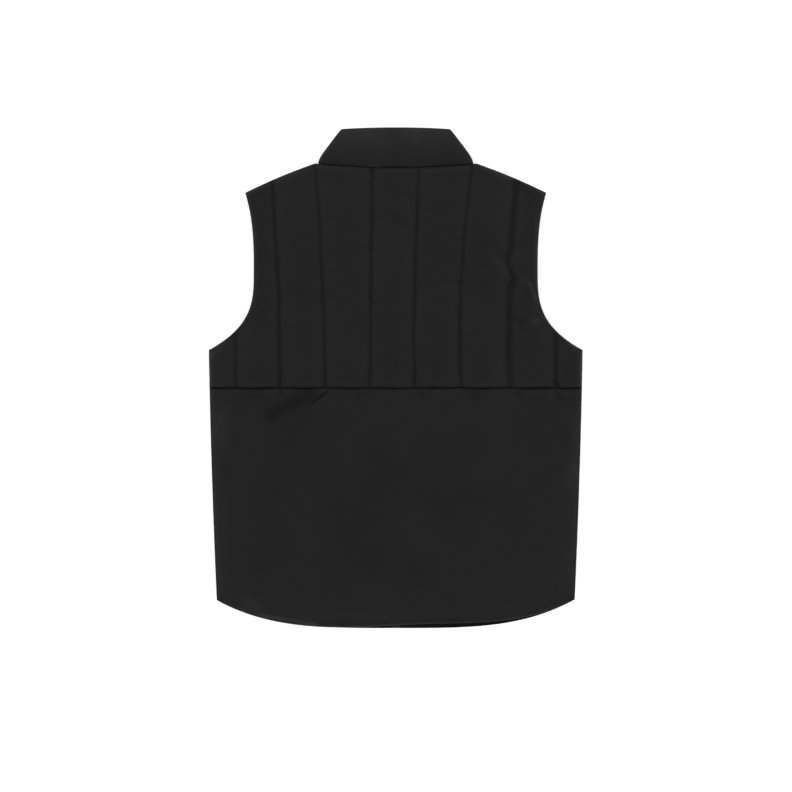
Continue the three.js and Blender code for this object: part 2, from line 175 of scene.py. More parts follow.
def drop_at(level, start):
    return clamp((start - level) / (start - HEM_CORNER)) ** BEND_POWER


for level in (HEM_CORNER, YOKE, UNDERARM, CHEST_LEVEL, SHOULDER_TIP):
    print(f"half width at y {level:+.3f}: {half_width(level):.4f}")

# %% [markdown]
# ## Where each panel is sewn, and how it rises from there
#
# Padding fills the space between an outer and an inner cloth, and every row of stitches pulls the two
# together. So a panel is lowest along its stitches, and climbs away from them along a round shoulder. The
# shoulder could be a bevel on a slab, but a bevel is the same everywhere; a height worked out from the
# distance to the nearest edge and the nearest stitch line follows all of them at once.

# %% Profiles of seams, edges and channels
BACK_FLOOR = 0.0096  # underside of the back, which lies on the fronts
SEAM_FLOOR = 0.0093
FREE_LIFT = 0.001
PRESSED = 0.0020  # two cloths and the padding under a row of stitches
TURNED_SHARE = 0.50  # height of a turned and stitched edge, as a share of the padding's
RIM = {"edge": 0.0008, "neck": 0.0006}  # an edge rounds over within this
ROLL = 0.013  # padding rises to its full height within this of a seam
FREE_ROLL = {"armhole": 0.036, "hem": 0.075}  # and more slowly beside a turned edge
FRONT_RIM = 0.0006
TURNED_BAND = 0.0060  # width of a turned edge, stitched along its inner side
MEET = 0.0001  # the sewn edges of two panels lie this close together
GROOVE = {"depth": 0.0003, "width": 0.0011}


def rounded(distance, reach):
    """0 on an edge and 1 from reach inwards, along a quarter circle."""
    return sqrt(1 - (1 - clamp(distance / reach)) ** 2)


def beside_free_edge(distance, reach):
    """Share of the padding's full height at a distance from a turned edge: steepest on the edge."""
    return 1.0 - (1.0 - TURNED_SHARE) * (1 - clamp(distance / reach)) ** 2


def groove(distance):
    """Depth that the stitches along a turned edge pull the cloth down."""
    return GROOVE["depth"] * exp(-(((distance - TURNED_BAND) / GROOVE["width"]) ** 2))


def bell(distance, reach):
    return exp(-((distance / reach) ** 2))


def drawn_in(from_yoke):
    """How far a sewn edge moves towards the yoke seam, to meet the edge of the other panel."""
    return (SEAM_GAP - MEET) / 2 * bell(from_yoke, ROLL)


def padded(floor, edge, height, roll, dip):
    """Heights of the lower and the upper cloth of the back, over the floor that it lies on."""
    low = floor + PRESSED / 2 * (1 - edge)
    return low, floor + PRESSED / 2 * (1 + edge) + (max(0.0, height) * roll - dip) * edge


# %% [markdown]
# ## Painted light and shade beside seams and edges
#
# The dye is even, but black cloth looks lighter where an edge or an open seam catches the light, and darker
# where the padding falls away under a seam or a hem turns under. Both are painted into the colour here, as
# soft bands of painted light and painted shade along a seam or an edge, each with its own strength and
# reach. The finish also has to know where the cloth is creased by its stitches, and it paints shade into
# the colour there too; the table of reaches below says how far that reaches from them.

# %% Painted light and shade beside seams and edges
# Each band paints light into the cloth's colour: positive is painted light, negative is painted shade.
PAINTED_LIGHT = {
    "yoke_seam": {"by": 0.35, "reach": 0.0024},
    "neck_seam": {"by": 0.45, "reach": 0.0024},
    "upper_side": {"by": 0.06, "reach": 0.012},
    "under_neck": {"by": -0.20, "reach": 0.014},
    "under_yoke": {"by": -0.10, "reach": 0.014},
    "lower_edges": {"by": 0.08, "reach": 0.016},
    "hem_edge_shadow": {"by": -0.60, "reach": 0.0016},
    "front_edges": {"by": -0.20, "reach": 0.006},
}
# Painted light on the collar: its colour grows lighter from the neck seam to the top edge, which tilts
# towards the light.
COLLAR_PAINTED_LIGHT = {"by": 0.86, "power": 1.4}  # from nothing at the neck seam to the most at the top edge
# How far from stitches and seams the cloth is creased; the finish also paints shade into its colour there.
CREASED_AND_SHADED = {"line": 0.0026, "seam": 0.0022, "collar": 0.0018}


def painted_light_at(band, distance):
    """How much painted light a seam or an edge puts into the cloth's colour at a distance from it. Painted
    shade is negative.
    """
    return PAINTED_LIGHT[band]["by"] * bell(distance, PAINTED_LIGHT[band]["reach"])


# %% [markdown]
# ## The quilting lines
#
# Eight rows of stitches run up the back. On the real vest they aren't quite straight or parallel: each is
# sewn by hand through springy padding, and the outer ones lean out towards the shoulders. Each row is
# given at three levels, and a smooth curve through those three carries a little wander on top. A row's
# pull says how deep its stitches draw the cloth at its foot and its head, and its band how wide they press
# it flat. The seventh row is the tightest, its flat band is wider on the right, and it has a kink, where a
# crease meets it. Wander, width and tension all come from one noise, and the last numbers in each call
# only pick another part of it.

# %% Quilting lines
LINE_LEVELS = (YOKE, CHEST_LEVEL, SHOULDER_TIP)
QUILT_LINES = (
    {"foot": -0.2400, "chest": -0.2380, "head": -0.2360, "pull": (0.62, 0.62), "band": 0.0006},
    {"foot": -0.1740, "chest": -0.1770, "head": -0.1860, "pull": (0.92, 0.76), "band": 0.0010},
    {"foot": -0.1060, "chest": -0.1110, "head": -0.1210, "pull": (0.90, 0.52), "band": 0.0007},
    {"foot": -0.0380, "chest": -0.0370, "head": -0.0350, "pull": (0.82, 0.74), "band": 0.0008},
    {"foot": 0.0280, "chest": 0.0290, "head": 0.0350, "pull": (0.80, 0.74), "band": 0.0008},
    {"foot": 0.0980, "chest": 0.0990, "head": 0.1150, "pull": (0.82, 0.56), "band": 0.0008},
    {"foot": 0.1700, "chest": 0.1700, "head": 0.1790, "pull": (1.00, 0.94), "band": 0.0012},
    {"foot": 0.2410, "chest": 0.2380, "head": 0.2350, "pull": (0.86, 0.80), "band": 0.0010},
)
KINKS = (
    {"line": 6, "level": 0.166, "reach": 0.009, "shift": -0.0050},
    {"line": 6, "level": 0.143, "reach": 0.008, "shift": 0.0052},
)
RIGHT_BAND = {"line": 6, "extra": 0.0032}
WANDER = {"reach": 0.0012, "length": 0.045, "fine": 0.0004, "fine_length": 0.013}
UNEVEN = {"share": 1.6, "length": 0.040}
TENSION = {"share": 0.30, "length": 0.030}
QUILT_PITCH = 0.06825
QUILT_PUFF = 0.009
CHANNEL_POWER = 0.60
VALLEY_ROUND = 0.0027


@lru_cache(maxsize=None)
def quilt_lines(level):
    """The x of each quilting line at a level, from the wearer's left to the right."""
    low, middle, high = LINE_LEVELS
    at_foot = (level - middle) * (level - high) / ((low - middle) * (low - high))
    at_chest = (level - low) * (level - high) / ((middle - low) * (middle - high))
    at_head = (level - low) * (level - middle) / ((high - low) * (high - middle))
    lines = []
    for number, line in enumerate(QUILT_LINES):
        fair = line["foot"] * at_foot + line["chest"] * at_chest + line["head"] * at_head
        wander = noise.noise(Vector((level / WANDER["length"], 7.3 * number, 0.5)))
        shake = noise.noise(Vector((level / WANDER["fine_length"], 5.9 * number, 2.5)))
        lines.append(fair + WANDER["reach"] * wander + WANDER["fine"] * shake)
    for kink in KINKS:
        lines[kink["line"]] += kink["shift"] * bell(level - kink["level"], kink["reach"])
    return lines


def beyond_band(x, y, line_x, number):
    """Distance of a place from the flat band along a quilting line. The band's width varies along it."""
    vary = noise.noise(Vector((y / UNEVEN["length"], 4.7 * number, 1.0 if x > line_x else 9.0)))
    band = QUILT_LINES[number]["band"] * (1 + UNEVEN["share"] * vary)
    if number == RIGHT_BAND["line"] and x > line_x:
        band += RIGHT_BAND["extra"]
    return max(0.0, abs(x - line_x) - band)


def channel_rise(beyond, number, y):
    """Share of the padding's full height at a distance from a line's band, at a place along it."""
    line = QUILT_LINES[number]
    s = min(0.5, (hypot(beyond, VALLEY_ROUND) - VALLEY_ROUND) / QUILT_PITCH)
    tension = 1 + TENSION["share"] * noise.noise(Vector((y / TENSION["length"], 3.1 * number, 7.7)))
    pull = min(1.0, mix(*line["pull"], clamp((y - YOKE) / (SHOULDER_TIP - YOKE))) * tension)
    return 1 - pull * (1 - (4 * s * (1 - s)) ** CHANNEL_POWER)


print("quilting lines at the chest:", [round(x, 3) for x in quilt_lines(LINE_LEVELS[1])])

# %% [markdown]
# ## Creases, gathers and slack
#
# Light cloth over padding is never quite smooth. A few creases are pressed in where the vest was folded or
# pulled, small gathers stand across every row of stitches because sewing draws the cloth up, and between
# them the cloth lies a little slack. The creases are listed one row each: a positive depth is a furrow and
# a negative one a ridge, and shade paints a furrow's shadow into the colour; below zero it paints a
# highlight on a ridge.
# The gathers and the slack come from a noise that is the same on every run.

# %% Creases, gathers and slack
# shade paints a shadow into the colour along a furrow; below zero it paints a highlight along a ridge.
CREASES = (
    {"from": (-0.101, -0.020), "to": (-0.124, -0.038), "width": 0.0019, "depth": 0.0030, "shade": 0.85},
    {"from": (-0.127, -0.026), "to": (-0.184, -0.055), "width": 0.0112, "depth": 0.0012, "shade": 0.56},
    {"from": (-0.228, -0.025), "to": (-0.198, -0.029), "width": 0.0045, "depth": 0.0012, "shade": 0.36},
    {"from": (-0.058, -0.028), "to": (-0.034, -0.018), "width": 0.0042, "depth": 0.0010, "shade": 0.28},
    {"from": (-0.174, -0.018), "to": (-0.170, -0.026), "width": 0.0040, "depth": 0.0012, "shade": 0.30},
    {"from": (0.033, -0.018), "to": (0.039, -0.029), "width": 0.0058, "depth": 0.0010, "shade": 0.34},
    {"from": (0.106, -0.018), "to": (0.121, -0.030), "width": 0.0060, "depth": 0.0012, "shade": 0.38},
    {"from": (0.168, -0.018), "to": (0.188, -0.023), "width": 0.0056, "depth": 0.0012, "shade": 0.40},
    {"from": (0.236, -0.018), "to": (0.243, -0.030), "width": 0.0056, "depth": 0.0012, "shade": 0.38},
    {"from": (0.236, -0.002), "to": (0.251, -0.020), "width": 0.0020, "depth": 0.0014, "shade": 0.45},
    {"from": (0.142, 0.203), "to": (0.162, 0.183), "width": 0.0040, "depth": 0.0018, "shade": 0.15},
    {"from": (0.175, 0.143), "to": (0.181, 0.134), "width": 0.0034, "depth": 0.0022, "shade": 0.25},
    {"from": (0.190, 0.150), "to": (0.201, 0.140), "width": 0.0024, "depth": -0.0010, "shade": -0.45},
    {"from": (0.201, 0.140), "to": (0.208, 0.122), "width": 0.0023, "depth": -0.0014, "shade": -0.90},
    {"from": (0.208, 0.122), "to": (0.2115, 0.102), "width": 0.0019, "depth": -0.0010, "shade": -0.60},
    {"from": (0.176, 0.088), "to": (0.191, 0.083), "width": 0.0032, "depth": 0.0018, "shade": 0.50},
    {"from": (0.206, 0.084), "to": (0.213, 0.084), "width": 0.0050, "depth": -0.0008, "shade": -0.55},
    {"from": (-0.161, 0.127), "to": (-0.137, 0.121), "width": 0.0060, "depth": 0.0010, "shade": 0.08},
    {"from": (-0.165, 0.082), "to": (-0.139, 0.070), "width": 0.0060, "depth": 0.0012, "shade": 0.08},
    {"from": (-0.259, -0.056), "to": (-0.258, -0.094), "width": 0.0100, "depth": -0.0010, "shade": -0.42},
    {"from": (0.262, -0.138), "to": (0.260, -0.158), "width": 0.0100, "depth": -0.0010, "shade": -0.34},
    {"from": (-0.222, -0.334), "to": (-0.208, -0.344), "width": 0.0095, "depth": -0.0010, "shade": -0.46},
    {"from": (-0.200, -0.3570), "to": (-0.118, -0.3705), "width": 0.0024, "depth": -0.0006, "shade": -1.60},
    {"from": (-0.276, 0.031), "to": (-0.263, 0.043), "width": 0.0019, "depth": -0.0008, "shade": -1.10},
)
FRONT_CREASES = (
    {"from": (-0.215, 0.150), "to": (-0.120, 0.118), "width": 0.0090, "depth": 0.0022},
    {"from": (-0.240, -0.060), "to": (-0.150, -0.105), "width": 0.0080, "depth": 0.0024},
    {"from": (-0.180, -0.210), "to": (-0.070, -0.190), "width": 0.0100, "depth": 0.0018},
    {"from": (-0.030, 0.040), "to": (-0.080, 0.010), "width": 0.0060, "depth": 0.0018},
    {"from": (0.030, 0.120), "to": (0.092, 0.160), "width": 0.0080, "depth": 0.0022},
    {"from": (0.250, 0.010), "to": (0.160, -0.030), "width": 0.0090, "depth": 0.0024},
    {"from": (0.060, -0.150), "to": (0.170, -0.180), "width": 0.0100, "depth": 0.0018},
    {"from": (0.210, -0.290), "to": (0.120, -0.270), "width": 0.0070, "depth": 0.0020},
)
GATHER = {"height": 0.0005, "length": 0.0085, "reach": 0.0035}
YOKE_GATHER = {"height": 0.0014, "length": 0.0130, "reach": 0.0060}
YOKE_WANDER = {"height": 0.0009, "length": 0.024, "reach": 0.020}
SLACK = {"height": 0.0012, "across": 0.075, "along": 0.110}
RUMPLE = {"height": 0.00035, "size": 0.022}


def crease_at(creases, x, y):
    """Depth of the creases at a place, and the painted shade in them; below zero it is a painted highlight.
    """
    depth = shade = 0.0
    for crease in creases:
        (x0, y0), (x1, y1) = crease["from"], crease["to"]
        length = hypot(x1 - x0, y1 - y0)
        along = ((x - x0) * (x1 - x0) + (y - y0) * (y1 - y0)) / length
        across = ((x - x0) * (y1 - y0) - (y - y0) * (x1 - x0)) / length
        past = max(0.0, -along, along - length)
        if abs(across) + past < 4 * crease["width"]:
            share = bell(across, crease["width"]) * bell(past, crease["width"])
            depth += crease["depth"] * share
            shade += crease.get("shade", 0.0) * share
    return depth, shade


def gather(kind, along, distance, seed):
    """Height of the small ridges that stand across a row of stitches, at a distance from it."""
    swell = distance / kind["reach"] * exp(1 - distance / kind["reach"])
    coarse = noise.noise(Vector((along / kind["length"], seed, 0.3)))
    fine = noise.noise(Vector((along / kind["length"] * 2.3, seed, 4.1)))
    return kind["height"] * swell * (coarse + 0.5 * fine)


def yoke_wander(x, y):
    """How far the yoke seam, and the cloth near it, strays from a straight line."""
    stray = noise.noise(Vector((x / YOKE_WANDER["length"], 11.2, 0.8)))
    return YOKE_WANDER["height"] * stray * bell(y - YOKE, YOKE_WANDER["reach"])


def slack(x, y, seed):
    wide = noise.noise(Vector((x / SLACK["across"], y / SLACK["along"], seed)))
    small = noise.noise(Vector((x / RUMPLE["size"], y / RUMPLE["size"], seed + 9)))
    return SLACK["height"] * wide + RUMPLE["height"] * small


# %% [markdown]
# ## The upper back
#
# One function says where each point of the panel lies: its place in the plane, the height of the inner and
# the outer cloth, how close it is to a seam, and the painted light and shade in its colour, which the
# finish uses later. `level` runs up the panel.
# The rows of cells are level across the chest and bend with the neck and shoulders towards the top.

# %% Shape of the upper back
def upper_point(x, level):
    from_side = half_width(level) - abs(x)
    top = back_top(x) - SEAM_GAP / 2
    y = level + (top - SHOULDER_TIP) * climb_at(level)
    from_yoke = y - YOKE - SEAM_GAP / 2
    from_top = top - y
    y += yoke_wander(x, y) - drawn_in(from_yoke)
    free = armhole_share(level)

    from_lines = [abs(x - line) for line in quilt_lines(level)]
    from_line = min(from_lines)
    number = from_lines.index(from_line)
    beyond = beyond_band(x, y, quilt_lines(level)[number], number)
    rise = channel_rise(beyond, number, y)

    at_side = mix(rounded(from_side, ROLL), beside_free_edge(from_side, FREE_ROLL["armhole"]), free)
    roll = at_side * rounded(from_yoke, ROLL) * rounded(from_top, ROLL)
    edge = rounded(min(from_side, from_yoke), RIM["edge"]) * rounded(from_top, RIM["neck"])
    turned = free * smooth(1 - (from_side - TURNED_BAND) / TURNED_BAND)
    sewn = 1 - rounded(min(from_yoke, from_top, mix(from_side, ROLL, free)), ROLL)
    floor = mix(BACK_FLOOR, SEAM_FLOOR, sewn) + FREE_LIFT * turned

    height = QUILT_PUFF * rise + gather(GATHER, y, from_line, 3.7 * number)
    height += gather(YOKE_GATHER, x, from_yoke, 1.9) + gather(GATHER, x, from_top, 5.2)
    crease, shade = crease_at(CREASES, x, y)
    height += slack(x, y, 2.0) * rise - crease
    low, high = padded(floor, edge, height, roll, free * groove(from_side))
    near_seam = max(bell(beyond, CREASED_AND_SHADED["line"]), bell(min(from_yoke, from_top), CREASED_AND_SHADED["seam"]))
    # Painted light and shade in the colour: a painted sheen along the side, painted light in the yoke and
    # neck seams, and painted shade below the neck seam and in the creases.
    painted_light = painted_light_at("upper_side", from_side) + painted_light_at("under_neck", from_top) - shade
    painted_light += painted_light_at("yoke_seam", from_yoke) + painted_light_at("neck_seam", from_top)
    return Vector((x, y, low)), Vector((x, y, high)), {"near_seam": near_seam, "painted_light": painted_light}


# %% [markdown]
# ## The lower back
#
# This panel has no quilting. Its sides and top are sewn and its hem is a turned edge, so it is one large
# low pillow. It droops a little towards its seams, and the gathers of the yoke seam and the feet of the
# quilting lines pull small dimples into its top edge.

# %% Shape of the lower back
LOWER_PUFF = 0.0095
LOWER_SLOPE = {"share": 0.3, "reach": 0.090}


def lower_point(x, level):
    from_side = half_width(level) - abs(x)
    seam = YOKE - SEAM_GAP / 2
    hem = back_hem(x)
    y = level + (hem - HEM_CORNER) * drop_at(level, seam)
    from_yoke = seam - y
    from_hem = y - hem
    y += yoke_wander(x, y) + drawn_in(from_yoke)

    roll = rounded(from_side, ROLL) * rounded(from_yoke, ROLL)
    roll *= beside_free_edge(from_hem, FREE_ROLL["hem"])
    edge = rounded(min(from_side, from_yoke, from_hem), RIM["edge"])
    turned = smooth(1 - (from_hem - TURNED_BAND) / TURNED_BAND)
    sewn = 1 - rounded(min(from_yoke, from_side), ROLL)
    floor = mix(BACK_FLOOR, SEAM_FLOOR, sewn) + FREE_LIFT * turned * (1 - sewn)

    inwards = min(from_yoke, from_side, from_hem)
    droop = LOWER_SLOPE["share"] * (1 - smooth(inwards / LOWER_SLOPE["reach"]))
    crease, shade = crease_at(CREASES, x, y)
    height = LOWER_PUFF * (1 - droop) + slack(x, y, 6.0) - crease
    height += gather(YOKE_GATHER, x, from_yoke, 1.9) + gather(GATHER, y, from_side, 8.1)
    height += gather(GATHER, x, max(0.0, from_hem - TURNED_BAND), 9.4)
    low, high = padded(floor, edge, height, roll, groove(from_hem))
    near_seam = bell(min(from_yoke, from_side), CREASED_AND_SHADED["seam"])
    # Painted light and shade in the colour: painted light in the yoke seam, painted shade below it and
    # along the hem's edge, a painted sheen near the sides and hem, and the creases' painted shade.
    painted_light = painted_light_at("yoke_seam", from_yoke) + painted_light_at("under_yoke", from_yoke) - shade
    painted_light += painted_light_at("hem_edge_shadow", from_hem) + painted_light_at("lower_edges", min(from_side, from_hem))
    return Vector((x, y, low)), Vector((x, y, high)), {"near_seam": near_seam, "painted_light": painted_light}


# %% [markdown]
# ## The fronts
#
# The two fronts lie face down under the back, so their outer cloth is pressed flat on the surface, with a
# few creases, and rolls up only at its seams, its turned edges and the zip. The edges end at different
# heights: a side seam meets the back, an armhole or hem hangs free, and the zip is sewn in halfway up. A
# weight that grows towards the nearest edge blends these heights at the corners. In the photograph only a
# sliver of the fronts' lining shows, below the hem of the back.

# %% Shape of a front
FRONT_WALL = 0.0090
EDGES = {
    "seam": {"height": 0.0078, "wall": 0.0020},
    "free": {"height": 0.0047, "wall": 0.0034},
    "zip": {"height": 0.0056, "wall": 0.0024},
}
ZIP_EDGE = 0.0066  # a little of each tape is sewn in between the cloths
ON_EDGE = 1e-5  # keeps an edge's weight finite on the edge itself


def front_point(x, level):
    across = abs(x)
    from_side = half_width(level) - across
    top = front_top(x) - SEAM_GAP / 2
    hem = front_hem(x)
    y = level + (top - SHOULDER_TIP) * climb_at(level) + (hem - HEM_CORNER) * drop_at(level, UNDERARM)
    free = armhole_share(level)
    distances = {"side": from_side, "top": top - y, "hem": y - hem, "zip": across - ZIP_EDGE}
    pull = {name: 1 / (max(0.0, distance) + ON_EDGE) ** 2 for name, distance in distances.items()}

    def blend(key):
        ends = {
            "side": mix(EDGES["seam"][key], EDGES["free"][key], free),
            "top": EDGES["seam"][key],
            "hem": EDGES["free"][key],
            "zip": EDGES["zip"][key],
        }
        return sum(pull[name] * ends[name] for name in pull) / sum(pull.values())

    middle, wall = blend("height"), blend("wall")
    nearest = max(0.0, min(distances.values()))
    roll = rounded(nearest, ROLL)
    edge = rounded(nearest, FRONT_RIM)
    dip = max(groove(distances["hem"]), groove(distances["zip"]), free * groove(from_side))
    relief = crease_at(FRONT_CREASES, x, y)[0] + gather(GATHER, x + y, nearest, 17.0)
    relief += abs(slack(x, y, 21.0))
    low = (middle - wall / 2 * edge) * (1 - roll) + (dip + max(0.0, relief)) * roll
    high = mix(middle + wall / 2 * edge, FRONT_WALL, smooth(nearest / FREE_ROLL["armhole"]))
    # Painted shade in the colour near every edge of the front, which darkens its sliver under the back's
    # hem.
    marks = {"near_seam": bell(nearest, CREASED_AND_SHADED["seam"]), "painted_light": painted_light_at("front_edges", nearest)}
    return Vector((x, y, low)), Vector((x, y, high)), marks


# %% [markdown]
# ## The collar
#
# A stand collar is a strip that runs from one side of the zip, round the neck, to the other. Laid flat it
# becomes a flattened tube: its front halves below, its back above, and a tight fold at each end. Each
# station along the strip is on a front, in a fold or on the back, and the strip's two cloths are two
# radii from the middle of that tube.

# %% Shape of the collar
LAYER_MIDDLE = 0.0093
COLLAR_INSIDE = {"seam": 0.0003, "top": 0.0012}
COLLAR_OUTSIDE = {"seam": 0.0044, "top": 0.0040}
COLLAR_SLOPE = {"seam": 0.026, "top": 0.056, "share": 0.75}
COLLAR_CORNER = {"start": 0.86, "drop": 0.009}
COLLAR_BOW = 0.003
COLLAR_FRONT_DROP = 0.012
COLLAR_TUCK = 0.0003  # how far its sewn edge slips under the edge of the back
FOLD_EASE = 6  # creases and slack die out over the last sixth of the way to a fold
# shade paints shadow into the collar's colour along these creases; below zero it paints a highlight.
COLLAR_CREASES = (
    {"from": (-0.006, 0.366), "to": (0.006, 0.338), "width": 0.0100, "depth": 0.0012, "shade": 0.22},
    {"from": (0.030, 0.372), "to": (0.030, 0.356), "width": 0.0070, "depth": -0.0010, "shade": -0.30},
    {"from": (-0.060, 0.372), "to": (-0.038, 0.352), "width": 0.0110, "depth": -0.0008, "shade": -0.10},
    {"from": (0.066, 0.352), "to": (0.078, 0.336), "width": 0.0080, "depth": 0.0008, "shade": 0.10},
)


def collar_ends(t, on_front):
    """The y of the neck seam and of the top edge, at a share t of the way from the middle to a fold."""
    if on_front:
        foot = mix(FRONT_NECK, NECK_POINT, t ** FRONT_NECK_POWER)
        head = mix(FRONT_COLLAR_TOP, COLLAR_TOP - COLLAR_FRONT_DROP, t ** FRONT_NECK_POWER)
    else:
        corner = 1 - rounded(1 - (t - COLLAR_CORNER["start"]) / (1 - COLLAR_CORNER["start"]), 1)
        foot = mix(BACK_NECK, NECK_POINT, t ** 2)
        head = COLLAR_TOP - COLLAR_BOW * t ** 2 - COLLAR_CORNER["drop"] * corner
    return foot, head


def collar_radii(from_seam, from_top, relief):
    """Radii of the inner and the outer cloth of the flattened tube. relief raises the outer one."""
    edge = rounded(from_seam, RIM["neck"]) * rounded(from_top, RIM["edge"])
    by_seam = 1 - rounded(from_seam, ROLL)
    by_top = 1 - rounded(from_top, ROLL)
    slope_seam = mix(by_seam, (1 - clamp(from_seam / COLLAR_SLOPE["seam"])) ** 2, COLLAR_SLOPE["share"])
    slope_top = mix(by_top, (1 - clamp(from_top / COLLAR_SLOPE["top"])) ** 2, COLLAR_SLOPE["share"])
    inside = mix(COLLAR_INSIDE["seam"], COLLAR_INSIDE["top"], by_top)
    outside = LAYER_MIDDLE - (LAYER_MIDDLE - COLLAR_OUTSIDE["seam"]) * slope_seam
    outside -= (LAYER_MIDDLE - COLLAR_OUTSIDE["top"]) * slope_top
    outside += relief * (1 - by_seam) * (1 - by_top)
    middle = (inside + outside) / 2
    return mix(middle, inside, edge), mix(middle, outside, edge)


def collar_point(station, rise):
    """Inner and outer point of the collar. rise runs from 0 at the neck seam to 1 at the top edge."""
    part, side, flat, turn = station
    height = COLLAR_TOP - BACK_NECK
    from_seam = height * rise
    from_top = height - from_seam
    half = mix(NECK, COLLAR_TOP_WIDTH, rise) / 2
    fold_at = half - LAYER_MIDDLE
    bend = turn - pi / 2
    across = mix(ZIP_EDGE, fold_at, flat) if part == "front" else fold_at * flat
    reach = fold_at + LAYER_MIDDLE * cos(bend) if part == "fold" else across
    on_front = part == "front" or (part == "fold" and bend < 0)
    y = mix(*collar_ends(reach / half, on_front), rise)
    y += (SEAM_GAP / 2 if on_front else -COLLAR_TUCK) * (1 - rise)

    relief = shade = 0.0
    if part == "back":
        furrow, shade = crease_at(COLLAR_CREASES, side * reach, y)
        relief = slack(side * across, y, 12.0) - furrow + gather(GATHER, side * across, from_seam, 14.0)
        relief *= smooth((1 - flat) * FOLD_EASE)
    radii = collar_radii(from_seam, from_top, relief)

    points = []
    for cloth, radius in zip((-1, 1), radii):
        if part == "back":
            points.append(Vector((side * across, y, LAYER_MIDDLE + radius)))
        elif part == "fold":
            x = fold_at + radius * cos(bend)
            points.append(Vector((side * x, y, LAYER_MIDDLE + radius * sin(bend))))
        else:
            from_zip = across - ZIP_EDGE
            half_wall = EDGES["zip"]["wall"] / 2 * rounded(from_zip, RIM["edge"])
            at_zip = EDGES["zip"]["height"] - cloth * half_wall
            z = mix(LAYER_MIDDLE - radius, at_zip, 1 - rounded(from_zip, ROLL))
            points.append(Vector((side * across, y, z)))
    # Painted light: the collar lighter towards its top edge and in its neck seam, with the creases' painted
    # shade.
    painted_light = COLLAR_PAINTED_LIGHT["by"] * rise ** COLLAR_PAINTED_LIGHT["power"] + painted_light_at("neck_seam", from_seam) - shade
    return points[0], points[1], {"near_seam": bell(from_seam, CREASED_AND_SHADED["collar"]), "painted_light": painted_light}


# %% [markdown]
# ## From a shape to a mesh
#
# A padded panel is a closed body of two cloths. A grid primitive gives the outer one, a flipped duplicate
# gives the inner one, every vertex is moved to its place, and the two are merged along their shared
# boundary. Solidify would be quicker, but it gives both cloths the same shape, and here only the outer
# one is raised. Where the grid's lines lie matters: they are close together at seams and stitch lines,
# where the cloth turns sharply, and they run along the stitches so that each valley stays clean.

# %% Grid of a panel
def stretches(stops, cuts):
    """Values that run through the stops, with each stretch between two of them cut at its own shares."""
    values = [stops[0]]
    for low, high, shares in zip(stops, stops[1:], cuts):
        values += [mix(low, high, share) for share in shares[1:]]
    return values


def even(n):
    return [k / n for k in range(n + 1)]


def eased(n):
    return [(1 - cos(pi * k / n)) / 2 for k in range(n + 1)]


def quarter(n):
    return [1 - cos(pi / 2 * t) for t in even(n)]


def quarter_end(n):
    return [1 - t for t in reversed(quarter(n))]


def make_object(name, bm, smooth_faces=True):
    mesh = bpy.data.meshes.new(name)
    bm.to_mesh(mesh)
    bm.free()
    if smooth_faces:
        mesh.polygons.foreach_set("use_smooth", [True] * len(mesh.polygons))
    made = bpy.data.objects.new(name, mesh)
    bpy.context.collection.objects.link(made)
    return made


def cut_size(cloth, columns, rows):
    """Greatest width and length of a cloth along its own surface, and its area."""

    def step(a, b):
        return (cloth[a] - cloth[b]).length

    width = max(sum(step((i, j), (i + 1, j)) for i in range(columns)) for j in range(rows + 1))
    length = max(sum(step((i, j), (i, j + 1)) for j in range(rows)) for i in range(columns + 1))
    area = 0.0
    for i in range(columns):
        for j in range(rows):
            one = cloth[i + 1, j + 1] - cloth[i, j]
            other = cloth[i, j + 1] - cloth[i + 1, j]
            area += one.cross(other).length / 2
    return {"flat": (width, length), "area": area}


def closed_panel(name, columns, rows, place, lining=0):
    """A closed body from two grids, and the cut of its shell. place(i, j) gives the two cloths' points,
    their marks for the finish and their place on the cut cloth. lining says which of the two cloths is
    the lining, and the other one is the shell."""
    bm = bmesh.new()
    # One attribute carries each point's painted light and shade, which the finish adds to the colour.
    near_seam, painted_light, lined, cut_u, cut_v = (
        bm.verts.layers.float.new(layer) for layer in ("near_seam", "painted_light", "lining", "cut_u", "cut_v")
    )
    bmesh.ops.create_grid(bm, x_segments=columns, y_segments=rows, size=0.5)
    upper = list(bm.verts)
    copied = bmesh.ops.duplicate(bm, geom=bm.verts[:] + bm.edges[:] + bm.faces[:])["geom"]
    bmesh.ops.reverse_faces(bm, faces=[item for item in copied if isinstance(item, bmesh.types.BMFace)])
    lower = [item for item in copied if isinstance(item, bmesh.types.BMVert)]
    boundary = [vert for vert in bm.verts if vert.is_boundary]

    placed = {}
    for verts, cloth in ((upper, 1), (lower, 0)):
        for vert in verts:
            cell = (round((vert.co.x + 0.5) * columns), round((vert.co.y + 0.5) * rows))
            if cell not in placed:
                placed[cell] = place(*cell)
            *points, marks, (vert[cut_u], vert[cut_v]) = placed[cell]
            vert[near_seam], vert[painted_light] = marks["near_seam"], marks["painted_light"]
            vert.co = points[cloth]
            vert[lined] = float(cloth == lining and not vert.is_boundary)
    bmesh.ops.remove_doubles(bm, verts=boundary, dist=1e-6)
    made = make_object(name, bm)

    mesh = made.data
    corners = [loop.vertex_index for loop in mesh.loops]
    u, v = (mesh.attributes[layer].data for layer in ("cut_u", "cut_v"))
    places = [value for corner in corners for value in (u[corner].value, v[corner].value)]
    mesh.uv_layers.new(name="cut")
    mesh.uv_layers["cut"].data.foreach_set("uv", places)
    size = cut_size({cell: points[1 - lining] for cell, points in placed.items()}, columns, rows)
    triangles = sum(len(polygon.vertices) - 2 for polygon in mesh.polygons)
    print(f"{name}: {triangles} triangles, cloth {size['flat'][0]:.3f} x {size['flat'][1]:.3f} m,")
    print(f"    {size['area']:.4f} square metres")
    return made, size


